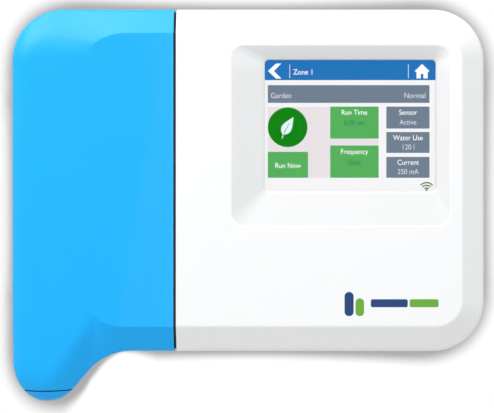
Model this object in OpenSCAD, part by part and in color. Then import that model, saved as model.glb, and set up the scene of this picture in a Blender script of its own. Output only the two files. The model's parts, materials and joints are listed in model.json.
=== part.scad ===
// Wall-mounted irrigation controller: a flat case with a touch screen on the right, and on the
// left a wiring bay behind a wrap-around door, whose leg leads the valve cables down and out.
// Millimetres. X is to the right, Z is up, and the wall is the plane Y = 0; the front faces -Y.

/* [Case] */
// Width of the whole case
case_w = 178; // [177:1:180]
// Height of the case, without the leg
case_h = 129; // [128:1:131]
// Depth from the wall to the front face
case_d = 33; // [33:0.5:35]
// Radius of the outer corners
corner_r = 19.3; // [18.5:0.1:20]
// Thickness of the moulded walls
wall = 2; // [1.9:0.1:2.1]

/* [Front face] */
// Width of the sloping border round the flat face
chamfer_w = 9.3; // [9:0.1:9.6]
// Slope of that border, in degrees
chamfer_angle = 30; // [26:1:32]
// Radius between the border and the side walls
edge_r = 1.3; // [1:0.1:1.5]

/* [Door and leg] */
// Width of the wiring door
door_w = 61.7; // [61:0.1:62]
// Gap between the door and the fixed pieces
door_gap = 0.5; // [0.4:0.1:0.6]
// Width of the leg
leg_w = 25.4; // [25:0.1:26]
// How far the leg reaches below the case
leg_drop = 19.2; // [19:0.1:20]
// Radius of the hollow curve between the leg and the case
leg_blend_r = 22; // [21:0.5:23]
// Height of the collar that closes the leg's end
collar_h = 4.5; // [4.4:0.1:4.6]
// Radius of the cable exit
exit_r = 5.5; // [5:0.1:5.5]

/* [Screen] */
// Visible width of the screen
screen_w = 64.3; // [63.5:0.1:65]
// Visible height of the screen
screen_h = 49.5; // [49:0.1:50]
// Depth of the sloping recess round the screen
recess_d = 3; // [2.8:0.1:3.2]

/* [Terminals] */
// Spacing of the terminals
pitch = 5.08; // [5:0.04:5.08]
// Terminals for the zone valves, the master valve and the common
zone_ways = 8; // [6:1:8]
// Terminals for the sensors
sensor_ways = 4; // [2:1:4]
// Terminals for the 24 V supply
power_ways = 2; // [2:1:2]

/* [Wall fixing] */
// Radius of the hole that passes the hanging screw's head
keyhole_r = 4.5; // [4.2:0.1:4.8]
// Radius of the two fixing holes
fixing_r = 2.3; // [2:0.1:2.5]
// Distance between the two fixing holes
fixing_spacing = 84; // [80:1:86]

/* [Hidden] */
$fn = 48;
eps = 0.01;

white = [0.95, 0.95, 0.95];
blue = [0.16, 0.7, 1];
steel = [0.72, 0.73, 0.75];
brass = [0.83, 0.68, 0.32];
black = [0.1, 0.1, 0.11];
board_green = [0.05, 0.32, 0.17];
block_green = [0.2, 0.62, 0.25];

// Depths, measured from the wall towards the front
plate_d = 3;        // back plate
rim_d = 9;          // rim of the rear housing
lip_d = 12;         // inner lip that the front housing fits over
board_back_d = 11;  // back of the main board
board_d = 12.6;     // front of the main board
slope = tan(chamfer_angle);
edge_drop = chamfer_w * slope + edge_r;  // how far the front face falls by the side walls

left = -case_w / 2;
right = case_w / 2;
top = case_h / 2;
bottom = -case_h / 2;
seam_x = left + door_w;
front_x = seam_x + door_gap / 2;  // left side of the front housing
door_x = seam_x - door_gap / 2;   // free edge of the door
leg_seam_z = bottom - leg_drop + collar_h;

// Hinge of the wiring door, along Z at the rear left edge
hinge_x = left + 2;
hinge_d = 5.4;
knuckle_r = 2;
knuckle_h = 6;
ear_h = 4;
ear_gap = 0.3;
pin_r = 0.9;
pin_clearance = 0.05;
hinge_z = [32, -46];

// Screen window and the sloping recess round it, as left, bottom, right, top
screen_cx = 38.3;
screen_cz = 20.5;
window = [screen_cx - screen_w / 2, screen_cz - screen_h / 2, screen_cx + screen_w / 2, screen_cz + screen_h / 2];
recess = [window[0] - 12.7, window[1] - 13.1, window[2] + 4.9, window[3] + 4.9];
window_d = case_d - recess_d;
window_lip = 1.6;

// Display stack, each depth at the front of its layer
gasket_d = window_d - window_lip;
touch_d = gasket_d - 0.5;
lcd_d = touch_d - 1.4;
backlight_d = lcd_d - 1.3;
frame_back_d = backlight_d - 1.8;
bracket_d = frame_back_d - 0.3;
bracket_t = 1.6;
lcd = [screen_cx - 38.3, window[1] - 3.6, screen_cx + 38.3, window[3] + 2];
display_bosses = [for (x = [8, 68], z = [lcd[1] - 4.2, lcd[3] + 4.2]) [x, z]];

// Fasteners
housing_bosses = [[right - 7.4, 40], [right - 7.4, -40], [-21.5, top - 6.5], [-21.5, bottom + 6.5]];
board_x = [-52, right - 11];
board_z = [-54, 54];
board_posts = [for (x = [-47.5, 74.5], z = [-50.5, 50.5]) [x, z]];
fixing_x = -72;
fixing_z = 2;
keyhole_z = 44;
keyhole_run = 8;
exit_x = -77.5;
exit_d = 13;
clamp_x = exit_x + 1.5;
clamp_z = -54;
clamp_r = 4.5;
clamp_screw = 7.2;  // from the clamp's middle to each of its screws

// Terminal blocks, from the top down
header_wall = 1.3;
block_gap = 2.5;
terminal_top = 47;
header_x = [board_x[0] + 0.4, board_x[0] + 12.4];
header_d = [board_d, board_d + 9];
pin_d = board_d + 4.5;
plug_x = [header_x[0] - 10.4, header_x[0] - 0.3];
plug_d = [board_d + 0.6, board_d + 12];
screw_x = plug_x[0] + 4.4;

function header_len(ways) = ways * pitch + 2 * header_wall;
power_top = terminal_top;
sensor_top = power_top - header_len(power_ways) - block_gap;
zone_top = sensor_top - header_len(sensor_ways) - block_gap;
function way_z(block_top, way) = block_top - header_wall - (way + 0.5) * pitch;

// ---------------------------------------------------------------- helpers

// Extrudes an X-Z outline between two depths from the wall
module slab(d0, d1) translate([0, -d0, 0]) rotate([90, 0, 0]) linear_extrude(d1 - d0) children();

// Block between two corners, each given as x, depth from the wall, z
module block(a, b) translate([a[0], -b[1], a[2]]) cube([b[0] - a[0], b[1] - a[1], b[2] - a[2]]);

// Round post that stands out from the wall between two depths
module post(at, r, d0, d1) translate([at[0], -d0, at[1]]) rotate([90, 0, 0]) cylinder(r = r, h = d1 - d0);

// X-Z rectangle given as left, bottom, right, top, grown by g, with corners of radius r
module rounded_rect(box, r, g = 0) {
  centres = [
    [box[2] + g - r, box[3] + g - r],
    [box[0] - g + r, box[3] + g - r],
    [box[0] - g + r, box[1] - g + r],
    [box[2] + g - r, box[1] - g + r]
  ];
  polygon([for (q = [0:3], i = [0:6]) centres[q] + r * [cos(90 * q + 15 * i), sin(90 * q + 15 * i)]]);
}

// The same rectangle with square corners
module plain_rect(box, g = 0)
  translate([box[0] - g, box[1] - g]) square([box[2] - box[0] + 2 * g, box[3] - box[1] + 2 * g]);

function clamp01(t) = max(0, min(1, t));
function smooth(t) = let (u = clamp01(t)) u * u * (3 - 2 * u);
function mix(a, b, t) = a + (b - a) * t;

// ---------------------------------------------------------------- outlines
// A line of outline points, each [x, z, outward normal x, normal z, roll, reach]. Roll is how far
// in from the edge the face is rounded, and reach is how far in it is cut into rings.

function arc(cx, cz, rx, rz, a0, a1, steps, roll0, roll1, reach, side = 1) = [
  for (i = [0:steps])
    let (
      a = mix(a0, a1, i / steps),
      n = [cos(a) / rx, sin(a) / rz] / norm([cos(a) / rx, sin(a) / rz])
    )
    [cx + rx * cos(a), cz + rz * sin(a), side * n[0], side * n[1], mix(roll0, roll1, i / steps), reach]
];

top_roll = 16.5;
top_reach = 17;
side_roll = 6;
leg_roll = 9.2;
leg_reach = 9.4;

// Centres of the leg's arcs, and the direction of the straight stretch that touches two of them
leg_r = leg_w / 2;
foot_z = bottom - leg_drop + leg_r;
heel_h = 15.5;
blend_x = left + 45;
blend_z = bottom - leg_blend_r;
leg_cx = left + leg_r;
between = [blend_x - leg_cx, blend_z - foot_z];
flank = atan2(between[1], between[0]) - acos((leg_r + leg_blend_r) / norm(between));

// It starts on the left side, at a point from which every other point of the outline can be seen
function door_line(seam) = concat(
  [[left, -50, -1, 0, side_roll, leg_reach]],
  arc(leg_cx, foot_z - leg_r + heel_h, leg_r, heel_h, 180, 270, 8, side_roll, leg_roll, leg_reach),
  arc(leg_cx, foot_z, leg_r, leg_r, 280, 360 + flank, 4, leg_roll, leg_roll, leg_reach),
  arc(blend_x, blend_z, leg_blend_r, leg_blend_r, 180 + flank, 90, 8, leg_roll, leg_roll, leg_reach, -1),
  [[seam, bottom, 0, -1, leg_roll, leg_reach]],
  [for (x = [seam, -47, -58]) [x, top, 0, 1, top_roll, top_reach]],
  arc(left + corner_r, top - corner_r, corner_r, corner_r, 90, 180, 10, top_roll, side_roll, top_reach)
);

function face_line(seam) = concat(
  [[seam, bottom, 0, -1, leg_roll, leg_reach]],
  arc(right - corner_r, bottom + corner_r, corner_r, corner_r, -90, 0, 10, leg_roll, leg_roll, leg_reach),
  arc(right - corner_r, top - corner_r, corner_r, corner_r, 0, 90, 10, leg_roll, leg_roll, leg_reach),
  [[seam, top, 0, 1, leg_roll, leg_reach]]
);

function moved_in(line, inset) = [for (p = line) [p[0] - inset * p[2], p[1] - inset * p[3]]];

module case_outline(inset = 0) {
  polygon(moved_in(door_line(seam_x), inset));
  polygon(moved_in(face_line(seam_x - 1), inset));
}
module face_outline(inset = 0, x = seam_x) polygon(moved_in(face_line(x), inset));

// ---------------------------------------------------------------- front surface
// How far the front lies below the flat face at a point, as a depth of 0 or less.

panel = [left + 29.9, bottom + chamfer_w, right - chamfer_w, top - chamfer_w];
panel_r = corner_r - chamfer_w;

// Distance outside the flat panel
function off_panel(x, z) =
  let (
    qx = abs(x - (panel[0] + panel[2]) / 2) - (panel[2] - panel[0]) / 2 + panel_r,
    qz = abs(z - (panel[1] + panel[3]) / 2) - (panel[3] - panel[1]) / 2 + panel_r
  )
  norm([max(qx, 0), max(qz, 0)]) + min(max(qx, qz), 0) - panel_r;

// Quarter round that is 1 at the edge and 0 at reach r
function roll(d, r) = 1 - sqrt(1 - pow(1 - clamp01(d / r), 2));

// The column down the left side is rounded, and it dies away to the right into the border
function fade(x, z) = z > 0 ? smooth((x - left - 17) / 22) : smooth((x - left - 23) / 18);

function face_depth(x, z, d, p) =
  let (
    border = -slope * max(0, off_panel(x, z)),
    column = -chamfer_w * slope * (roll(d, p[4]) + fade(x, z) * (1 - smooth(d / (p[5] - 0.5))))
  )
  max(border, x > seam_x ? border : column) - edge_r * roll(d, edge_r);

ring_share = [0, 0.03, 0.08, 0.25, 0.5, 0.78, 1];

// Ring of the front surface at a share of its reach. skin is 0 outside, or the wall's thickness inside.
function face_ring(line, share, skin) = [
  for (p = line)
    let (
      inset = skin + share * (p[5] - skin),
      x = p[0] - inset * p[2],
      z = p[1] - inset * p[3]
    )
    [x, -(case_d + face_depth(x, z, inset, p)) + 1.15 * skin, z]
];

// Closed solid between the depth back_d and the front surface
module face_solid(line, back_d, skin = 0) {
  count = len(line);
  rings = concat(
    [[for (p = line) [p[0] - skin * p[2], -back_d, p[1] - skin * p[3]]]],
    [for (share = ring_share) face_ring(line, share, skin)]
  );
  last = len(rings) - 1;
  polyhedron(
    points = [for (ring = rings) each ring],
    faces = concat(
      [[for (i = [0:count - 1]) i]],
      [for (k = [0:last - 1], i = [0:count - 1], half = [0, 1])
        let (a = k * count + i, b = k * count + (i + 1) % count)
        half == 0 ? [a, a + count, b + count] : [a, b + count, b]],
      [[for (i = [0:count - 1]) last * count + (count - i) % count]]
    )
  );
}

// Cross-section of the case along X, moved in by i, as points [depth, z]
function section(i, back_d) =
  let (
    side = top - i,
    turn = case_d - chamfer_w * slope - i * tan(chamfer_angle),
    crease = top - chamfer_w - i * tan(chamfer_angle / 2)
  )
  [[back_d, side], [turn, side], [case_d - i, crease], [case_d - i, -crease], [turn, -side], [back_d, -side]];

module section_slab(i, back_d, x0, x1)
  translate([x0, 0, 0]) rotate([90, 0, 90]) linear_extrude(x1 - x0)
    polygon([for (p = section(i, back_d)) [-p[0], p[1]]]);

// ---------------------------------------------------------------- case pieces

module hinge_barrel(z0, z1) translate([hinge_x, -hinge_d, z0]) cylinder(r = knuckle_r, h = z1 - z0);
module hinge_hole(r) for (z = hinge_z) translate([hinge_x, -hinge_d, z - 10]) cylinder(r = r, h = 20);

// The two ears of one hinge, either side of the door's knuckle
function ear_spans(z) = [for (s = [-1, 1]) let (c = z + s * (knuckle_h / 2 + ear_gap + ear_h / 2)) [c - ear_h / 2, c + ear_h / 2]];

module keyhole() {
  circle(r = keyhole_r);
  translate([-fixing_r, 0]) square([2 * fixing_r, keyhole_run]);
  translate([0, keyhole_run]) circle(r = fixing_r);
}

module rear_housing() color(white) {
  difference() {
    union() {
      slab(0, plate_d) case_outline();
      // Rim and inner lip round the electronics
      difference() {
        union() {
          slab(plate_d - eps, rim_d) face_outline(0, seam_x);
          slab(plate_d - eps, lip_d) face_outline(wall + 0.3, seam_x + wall + 0.6);
        }
        slab(plate_d - 1, lip_d + 1) face_outline(wall + 1.6, seam_x + 1.6);
        block([seam_x - 1, plate_d + 0.1, bottom + 6], [seam_x + 4, lip_d + 1, top - 6]);
        for (at = housing_bosses) post(at, 4.4, rim_d - 3, lip_d + 1);
      }
      // Rib under the board, between the wiring bay and the electronics
      block([seam_x + 0.2, plate_d - eps, board_z[0]], [seam_x + 1.8, board_back_d - 0.2, board_z[1]]);
      for (at = board_posts) post(at, 3, plate_d - eps, board_back_d);
      for (at = housing_bosses) post(at, 4, plate_d - eps, 6);
      // Pocket that keeps the hanging screw's head away from the electronics
      block([-8, plate_d - eps, keyhole_z - 7], [8, 9, keyhole_z + keyhole_run + 5]);
      for (z = [-1, 1]) post([fixing_x, fixing_z + z * fixing_spacing / 2], 6, plate_d - eps, plate_d + 1.5);
      for (x = [-1, 1]) post([clamp_x + x * clamp_screw, clamp_z], 2.4, plate_d - eps, rim_d);
      // Ribs that the door closes over, along the top and the bottom of the wiring bay
      for (z = [top - 4.6, bottom + 3.4]) block([-56, plate_d - eps, z], [seam_x - 3, plate_d + 5, z + 1.2]);
      for (z = hinge_z, span = ear_spans(z)) {
        hinge_barrel(span[0], span[1]);
        block([hinge_x - knuckle_r, plate_d - eps, span[0]], [hinge_x + knuckle_r, hinge_d, span[1]]);
      }
    }
    for (at = board_posts) post(at, 1.1, plate_d, board_back_d + 1);
    for (at = housing_bosses) {
      post(at, 3.1, -1, 4);
      post(at, 1.6, 3, 7);
    }
    for (z = [-1, 1]) post([fixing_x, fixing_z + z * fixing_spacing / 2], fixing_r, -1, plate_d + 3);
    for (x = [-1, 1]) post([clamp_x + x * clamp_screw, clamp_z], 1.1, plate_d, rim_d + 1);
    hinge_hole(pin_r);
    slab(-1, plate_d + 1) translate([0, keyhole_z]) keyhole();
    block([-6.2, plate_d - eps, keyhole_z - 5.6], [6.2, 7.6, keyhole_z + keyhole_run + 3.6]);
    // Blank recess for a rating label, and ventilation slots
    block([12, -1, -46], [66, 0.6, -20]);
    for (i = [0:6]) block([26 + 5 * i, -1, 8], [28 + 5 * i, plate_d + 1, 30]);
    post([exit_x, leg_seam_z + 6], 1.1, 1, plate_d + 1);
  }
}

module front_housing() color(white) {
  difference() {
    union() {
      difference() {
        face_solid(face_line(front_x), rim_d + 0.2);
        face_solid(face_line(front_x + wall), rim_d - 1, wall);
      }
      intersection() {
        face_solid(face_line(front_x), 6);
        union() {
          for (at = housing_bosses) post(at, 3.4, 6.2, case_d - 2);
          for (at = display_bosses) post(at, 2.8, bracket_d, case_d - 1.5);
        }
      }
      // Back of the sloping recess
      difference() {
        hull() {
          slab(case_d - 1.8, case_d - 1.6) rounded_rect(recess, 4.7, 1);
          slab(gasket_d, gasket_d + 0.2) rounded_rect(window, 1.6, 3);
        }
        slab(gasket_d - 1, case_d) rounded_rect(window, 1.6);
      }
      // Lip that the door closes over
      difference() {
        section_slab(wall + 0.65, rim_d + 0.2, seam_x - 1.8, front_x + wall);
        section_slab(wall + 1.85, rim_d - 1, seam_x - 3, front_x + wall + 1);
      }
    }
    hull() {
      slab(case_d, case_d + eps) rounded_rect(recess, 4.7);
      slab(window_d, window_d + eps) rounded_rect(window, 1.6);
    }
    slab(gasket_d - 1, case_d) rounded_rect(window, 1.6);
    // The board passes under the divider, and the rear lip under the walls
    block([seam_x - 3, rim_d - 2, board_z[0] - 0.6], [front_x + wall + 0.5, board_d + 0.6, board_z[1] + 0.6]);
    for (at = housing_bosses) post(at, 1.45, 5, 17.2);
    for (at = display_bosses) post(at, 1.1, bracket_d - 1, bracket_d + 6);
  }
}

module wiring_door() color(blue) {
  difference() {
    union() {
      difference() {
        face_solid(door_line(door_x), plate_d + 0.4);
        face_solid(door_line(seam_x + 3), plate_d - 1, wall);
        // Rear edge stands clear of the back plate as the door swings
        block([left - 1, 0, bottom - leg_drop - 1], [hinge_x + 1, hinge_d - 0.5, top + 1]);
      }
      for (z = hinge_z) hinge_barrel(z - knuckle_h / 2, z + knuckle_h / 2);
    }
    hinge_hole(pin_r + pin_clearance);
    // Notches for the ears of the hinges
    for (z = hinge_z, span = ear_spans(z))
      block([left - 1, 0, span[0] - ear_gap], [hinge_x + 2.3, hinge_d + 2.4, span[1] + ear_gap]);
    // The leg ends above its collar
    block([left - 1, 0, bottom - leg_drop - 1], [-40, case_d + 1, leg_seam_z + door_gap / 2]);
  }
}

// Tongue that holds the collar to the back plate
module collar_tongue() block([exit_x - 4, plate_d, leg_seam_z - 1], [exit_x + 4, plate_d + 2, leg_seam_z + 10]);

module cable_exit_collar() color(blue) difference() {
  union() {
    intersection() {
      face_solid(door_line(door_x), plate_d);
      block([left - 1, plate_d, bottom - leg_drop - 1], [-60, case_d + 1, leg_seam_z - door_gap / 2]);
    }
    collar_tongue();
  }
  translate([exit_x, -exit_d, bottom - leg_drop - 1]) cylinder(r = exit_r, h = 12);
  post([exit_x, leg_seam_z + 6], 1.3, plate_d - 1, plate_d + 3);
}

// Pan-head screw pointing at the wall: head radius, head height, shank radius and length
module screw_in(at, d, head_r, head_h, shank_r, length) difference() {
  union() {
    post(at, head_r, d, d + head_h);
    post(at, shank_r, d - length, d + eps);
  }
  for (turn = [0, 90]) translate([at[0], -d - head_h, at[1]]) rotate([0, turn, 0])
    cube([head_r * 1.3, head_h, 0.5], center = true);
}

// Countersunk-head screw pointing away from the wall
module screw_out(at, d, head_r, head_h, shank_r, length) difference() {
  union() {
    post(at, head_r, d - head_h, d);
    post(at, shank_r, d - eps, d + length);
  }
  for (turn = [0, 90]) translate([at[0], head_h - d, at[1]]) rotate([0, turn, 0])
    cube([head_r * 1.3, head_h, 0.6], center = true);
}

module collar_screw() color(steel) screw_in([exit_x, leg_seam_z + 6], plate_d + 2, 2.4, 1.5, 1.1, 3.6);

module hinge_pins() color(steel) for (z = hinge_z)
  translate([hinge_x, -hinge_d, z - knuckle_h / 2 - ear_gap - ear_h]) cylinder(r = pin_r, h = knuckle_h + 2 * (ear_gap + ear_h));

module cable_clamp() color(white) translate([clamp_x, -rim_d, clamp_z - 4]) difference() {
  foot = clamp_screw + 2.3;
  linear_extrude(8) difference() {
    union() {
      circle(r = clamp_r + 2);
      translate([-foot, -2.4]) square([2 * foot, 2.4]);
    }
    circle(r = clamp_r);
    translate([-20, 0]) square([40, 20]);
  }
  for (x = [-1, 1]) translate([x * clamp_screw, 1, 4]) rotate([90, 0, 0]) cylinder(r = 1.3, h = 4);
  // Room for the screws' heads beside the arch
  for (x = [-1, 1]) translate([x * (clamp_screw + 1.3), -2.4 - 2.5, 4]) cube([6.8, 5, 5], center = true);
}

module clamp_screws() color(steel) for (x = [-1, 1])
  screw_in([clamp_x + x * clamp_screw, clamp_z], rim_d + 2.4, 2, 1.4, 1.1, 7);

module housing_screws() color(steel) for (at = housing_bosses) screw_out(at, 4, 2.8, 1.8, 1.45, 12);

// ---------------------------------------------------------------- display

module display_gasket() color(black) slab(touch_d, gasket_d) difference() {
  plain_rect(window, 2.4);
  plain_rect(window, 0.8);
}

module touch_panel() color([0.75, 0.82, 0.86]) slab(touch_d - 1.2, touch_d) plain_rect([lcd[0], lcd[1] + 1, lcd[2], lcd[3]]);
module lcd_glass() color([0.85, 0.9, 0.95]) slab(backlight_d, lcd_d) plain_rect(lcd);
module lcd_backlight() color(white) slab(frame_back_d, backlight_d) plain_rect(lcd);

module lcd_frame() color(steel) difference() {
  slab(bracket_d, lcd_d + 0.1) plain_rect(lcd, 0.3);
  slab(frame_back_d, lcd_d + 1) plain_rect(lcd);
}

module display_bracket() color(black) difference() {
  union() {
    slab(bracket_d - bracket_t, bracket_d) plain_rect(lcd, 0.3);
    for (at = display_bosses) {
      post(at, 3.2, bracket_d - bracket_t, bracket_d);
      block([at[0] - 3.2, bracket_d - bracket_t, min(at[1], at[1] < 0 ? lcd[1] : lcd[3])],
        [at[0] + 3.2, bracket_d, max(at[1], at[1] < 0 ? lcd[1] : lcd[3])]);
    }
  }
  slab(bracket_d - bracket_t - 1, bracket_d + 1) plain_rect(lcd, -9);
  for (at = display_bosses) post(at, 1.3, bracket_d - bracket_t - 1, bracket_d + 1);
}

module display_screws() color(steel) for (at = display_bosses)
  screw_out(at, bracket_d - bracket_t, 2.3, 1.4, 1.1, 7);

// Flat ribbon along a cubic curve from the display to its connector, as [depth, z] points
module ribbon(x0, x1, from, pull, t) {
  ends = [from, [from[0], -24], [board_d + 1.2, -12], [board_d + 1.2, connector_z[1]]];
  path = [for (i = [0:10]) let (u = i / 10, v = 1 - u)
    v * v * v * ends[0] + 3 * u * v * v * [ends[1][0], ends[1][1] - pull] + 3 * u * u * v * ends[2] + u * u * u * ends[3]];
  function side(i, s) =
    let (run = path[min(i + 1, 10)] - path[max(i - 1, 0)], n = [run[1], -run[0]] / norm(run))
    path[i] + s * t / 2 * n;
  translate([x0, 0, 0]) rotate([90, 0, 90]) linear_extrude(x1 - x0)
    polygon([for (i = [0:10]) [-side(i, 1)[0], side(i, 1)[1]], for (i = [10:-1:0]) [-side(i, -1)[0], side(i, -1)[1]]]);
}

connector_z = [-27.5, -23];
lcd_ribbon_x = [28, 48];
touch_ribbon_x = [56, 61];

module lcd_ribbon() color([0.85, 0.55, 0.2]) ribbon(lcd_ribbon_x[0], lcd_ribbon_x[1], [lcd_d - 1.4, lcd[1] - 0.3], 0, 0.3);
module touch_ribbon() color([0.85, 0.55, 0.2]) ribbon(touch_ribbon_x[0], touch_ribbon_x[1], [touch_d - 0.6, lcd[1] + 1], 2, 0.2);

// Ribbon connector: a low body with a locking bar
module ribbon_connector(x) {
  block([x[0] - 2, board_d, connector_z[0]], [x[1] + 2, board_d + 1.9, connector_z[1] - 1.2]);
  block([x[0] - 1, board_d, connector_z[1] - 1.2 - eps], [x[1] + 1, board_d + 1, connector_z[1] - eps]);
}

module lcd_connector() color([0.88, 0.86, 0.8]) ribbon_connector(lcd_ribbon_x);
module touch_connector() color([0.88, 0.86, 0.8]) ribbon_connector(touch_ribbon_x);

// ---------------------------------------------------------------- terminals

// Square pins that stand in the header, turn down behind it and pass through the board
module header_pins(block_top, ways) for (way = [0:ways - 1]) {
  z = way_z(block_top, way);
  block([header_x[0] + 1.6, pin_d - 0.5, z - 0.5], [header_x[1] + 1.2, pin_d + 0.5, z + 0.5]);
  block([header_x[1] + 0.2, board_back_d - 1.4, z - 0.5], [header_x[1] + 1.2, pin_d, z + 0.5]);
}

module terminal_header(block_top, ways) color(block_green) difference() {
  z0 = block_top - header_len(ways);
  block([header_x[0], header_d[0], z0], [header_x[1], header_d[1], block_top]);
  block([header_x[0] - 1, header_d[0] + 1.2, z0 + header_wall], [header_x[1] - 2, header_d[1] - 1.2, block_top - header_wall]);
  // Slots in the front wall, one for each terminal
  for (way = [0:ways - 1])
    block([header_x[0] - 1, header_d[1] - 2, way_z(block_top, way) - 1.2], [header_x[0] + 4.6, header_d[1] + 1, way_z(block_top, way) + 1.2]);
  header_pins(block_top, ways);
}

module terminal_plug(block_top, ways) color(block_green) difference() {
  z1 = block_top - header_wall - 0.15;
  z0 = block_top - header_len(ways) + header_wall + 0.15;
  union() {
    block([plug_x[0], plug_d[0], z0], [plug_x[1], plug_d[1], z1]);
    block([plug_x[1] - eps, header_d[0] + 1.4, z0], [header_x[1] - 2.4, header_d[1] - 1.4, z1]);
    for (way = [0:ways - 1])
      block([plug_x[1] - eps, header_d[1] - 1.4 - eps, way_z(block_top, way) - 1], [plug_x[1] + 4.4, header_d[1] - 0.4, way_z(block_top, way) + 1]);
  }
  for (way = [0:ways - 1]) {
    z = way_z(block_top, way);
    block([plug_x[0] + 8, pin_d - 0.7, z - 0.7], [header_x[1], pin_d + 0.7, z + 0.7]);   // pin socket
    block([plug_x[0] - 1, pin_d - 1.5, z - 1.5], [plug_x[0] + 3, pin_d + 1.9, z + 1.5]);  // wire entry
    block([plug_x[0] + 2, pin_d - 2.6, z - 1.9], [plug_x[0] + 6.8, pin_d + 3.2, z + 1.9]);  // seat of the clamp
    post([screw_x, z], 1.9, pin_d + 3, plug_d[1] + 1);
  }
  // Groove across the front, and rows of wire guides below it
  block([plug_x[1] - 2.2, plug_d[1] - 0.6, z0 - 1], [plug_x[1] - 1.4, plug_d[1] + 1, z1 + 1]);
}

// Rising clamps: rectangular cages that the wires lie in
module plug_clamps(block_top, ways) color(brass) for (way = [0:ways - 1]) {
  z = way_z(block_top, way);
  difference() {
    block([plug_x[0] + 2, pin_d - 2.6, z - 1.9], [plug_x[0] + 6.8, pin_d + 3.2, z + 1.9]);
    block([plug_x[0] + 1, pin_d - 1.5, z - 1.3], [plug_x[0] + 8, pin_d + 1.9, z + 1.3]);
    post([screw_x, z], 1, pin_d + 1, pin_d + 4);
  }
}

module plug_screws(block_top, ways) color(steel) for (way = [0:ways - 1]) difference() {
  at = [screw_x, way_z(block_top, way)];
  union() {
    post(at, 1.65, plug_d[1] - 2.4, plug_d[1] - 1);
    post(at, 1, pin_d + 2, plug_d[1] - 2.3);
  }
  block([at[0] - 2, plug_d[1] - 1.8, at[1] - 0.3], [at[0] + 2, plug_d[1], at[1] + 0.3]);
}

module power_header() terminal_header(power_top, power_ways);
module sensor_header() terminal_header(sensor_top, sensor_ways);
module zone_header() terminal_header(zone_top, zone_ways);
module power_header_pins() color(steel) header_pins(power_top, power_ways);
module sensor_header_pins() color(steel) header_pins(sensor_top, sensor_ways);
module zone_header_pins() color(steel) header_pins(zone_top, zone_ways);
module power_plug() terminal_plug(power_top, power_ways);
module sensor_plug() terminal_plug(sensor_top, sensor_ways);
module zone_plug() terminal_plug(zone_top, zone_ways);
module power_plug_clamps() plug_clamps(power_top, power_ways);
module sensor_plug_clamps() plug_clamps(sensor_top, sensor_ways);
module zone_plug_clamps() plug_clamps(zone_top, zone_ways);
module power_plug_screws() plug_screws(power_top, power_ways);
module sensor_plug_screws() plug_screws(sensor_top, sensor_ways);
module zone_plug_screws() plug_screws(zone_top, zone_ways);

// ---------------------------------------------------------------- board and components

module main_board() color(board_green) difference() {
  block([board_x[0], board_back_d, board_z[0]], [board_x[1], board_d, board_z[1]]);
  for (at = board_posts) post(at, 1.5, board_back_d - 1, board_d + 1);
  header_pins(power_top, power_ways);
  header_pins(sensor_top, sensor_ways);
  header_pins(zone_top, zone_ways);
}

module board_screws() color(steel) for (at = board_posts) screw_in(at, board_d, 2.6, 1.6, 1.1, 8);

reset_at = [-46, -43.5];
button_r = 1.75;

module reset_switch() color(black) difference() {
  block([reset_at[0] - 3, board_d, reset_at[1] - 3], [reset_at[0] + 3, board_d + 3.6, reset_at[1] + 3]);
  post(reset_at, button_r + 0.1, board_d + 2.2, board_d + 4);
}

module reset_button() color([0.8, 0.15, 0.12]) post(reset_at, button_r, board_d + 2.6, board_d + 6);

fuse_at = [-33.8, -42];
fuse_d = board_d + 4.4;
fuse_len = 20;
module fuse_ring(r, hole_r, z0, z1) translate([fuse_at[0], -fuse_d, fuse_at[1] + z0]) difference() {
  cylinder(r = r, h = z1 - z0);
  translate([0, 0, -1]) cylinder(r = hole_r, h = z1 - z0 + 2);
}

module fuse_tube() color([0.8, 0.9, 0.92]) fuse_ring(2.4, 1.8, -fuse_len / 2 + 1, fuse_len / 2 - 1);
module fuse_caps() color(steel) for (s = [-1, 1]) translate([fuse_at[0], -fuse_d, fuse_at[1] + s * (fuse_len / 2 - 2.5)]) difference() {
  cylinder(r = 2.6, h = 5, center = true);
  translate([0, 0, -s * 1]) cylinder(r = 2.4, h = 5, center = true);
}
module fuse_clips() color(steel) for (s = [-1, 1]) {
  z = fuse_at[1] + s * (fuse_len / 2 - 3);
  difference() {
    block([fuse_at[0] - 3.2, board_d, z - 2], [fuse_at[0] + 3.2, fuse_d + 1.6, z + 2]);
    translate([fuse_at[0], -fuse_d, z - 3]) cylinder(r = 2.6, h = 6);
    block([fuse_at[0] - 2.1, fuse_d, z - 3], [fuse_at[0] + 2.1, fuse_d + 3, z + 3]);
    block([fuse_at[0] - 2.6, board_d + 0.5, z - 3], [fuse_at[0] + 2.6, fuse_d - 2, z + 3]);
  }
}

module varistor() color([0.15, 0.3, 0.65]) translate([-13, -board_d - 6.5, 20]) {
  cylinder(r = 5, h = 4);
  for (x = [-1, 1]) translate([x * 2.5 - 0.4, 3, 1.6]) cube([0.8, 3.5, 0.8]);
}

module bridge_rectifier() color(black) block([-18, board_d, 33], [-9, board_d + 5, 42]);

module capacitors() color([0.16, 0.18, 0.35]) for (z = [-25, -38]) difference() {
  post([-12.5, z], 5, board_d, board_d + 15);
  difference() {
    post([-12.5, z], 6, board_d + 2.2, board_d + 2.8);
    post([-12.5, z], 4.7, board_d + 2, board_d + 3);
  }
}

module power_inductor() color([0.3, 0.3, 0.32]) {
  block([4, board_d, 25], [14, board_d + 1.2, 35]);
  post([9, 30], 4.6, board_d + 1.2 - eps, board_d + 4.4);
  block([4.4, board_d + 4.4 - eps, 25.4], [13.6, board_d + 5.2, 34.6]);
}

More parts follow.
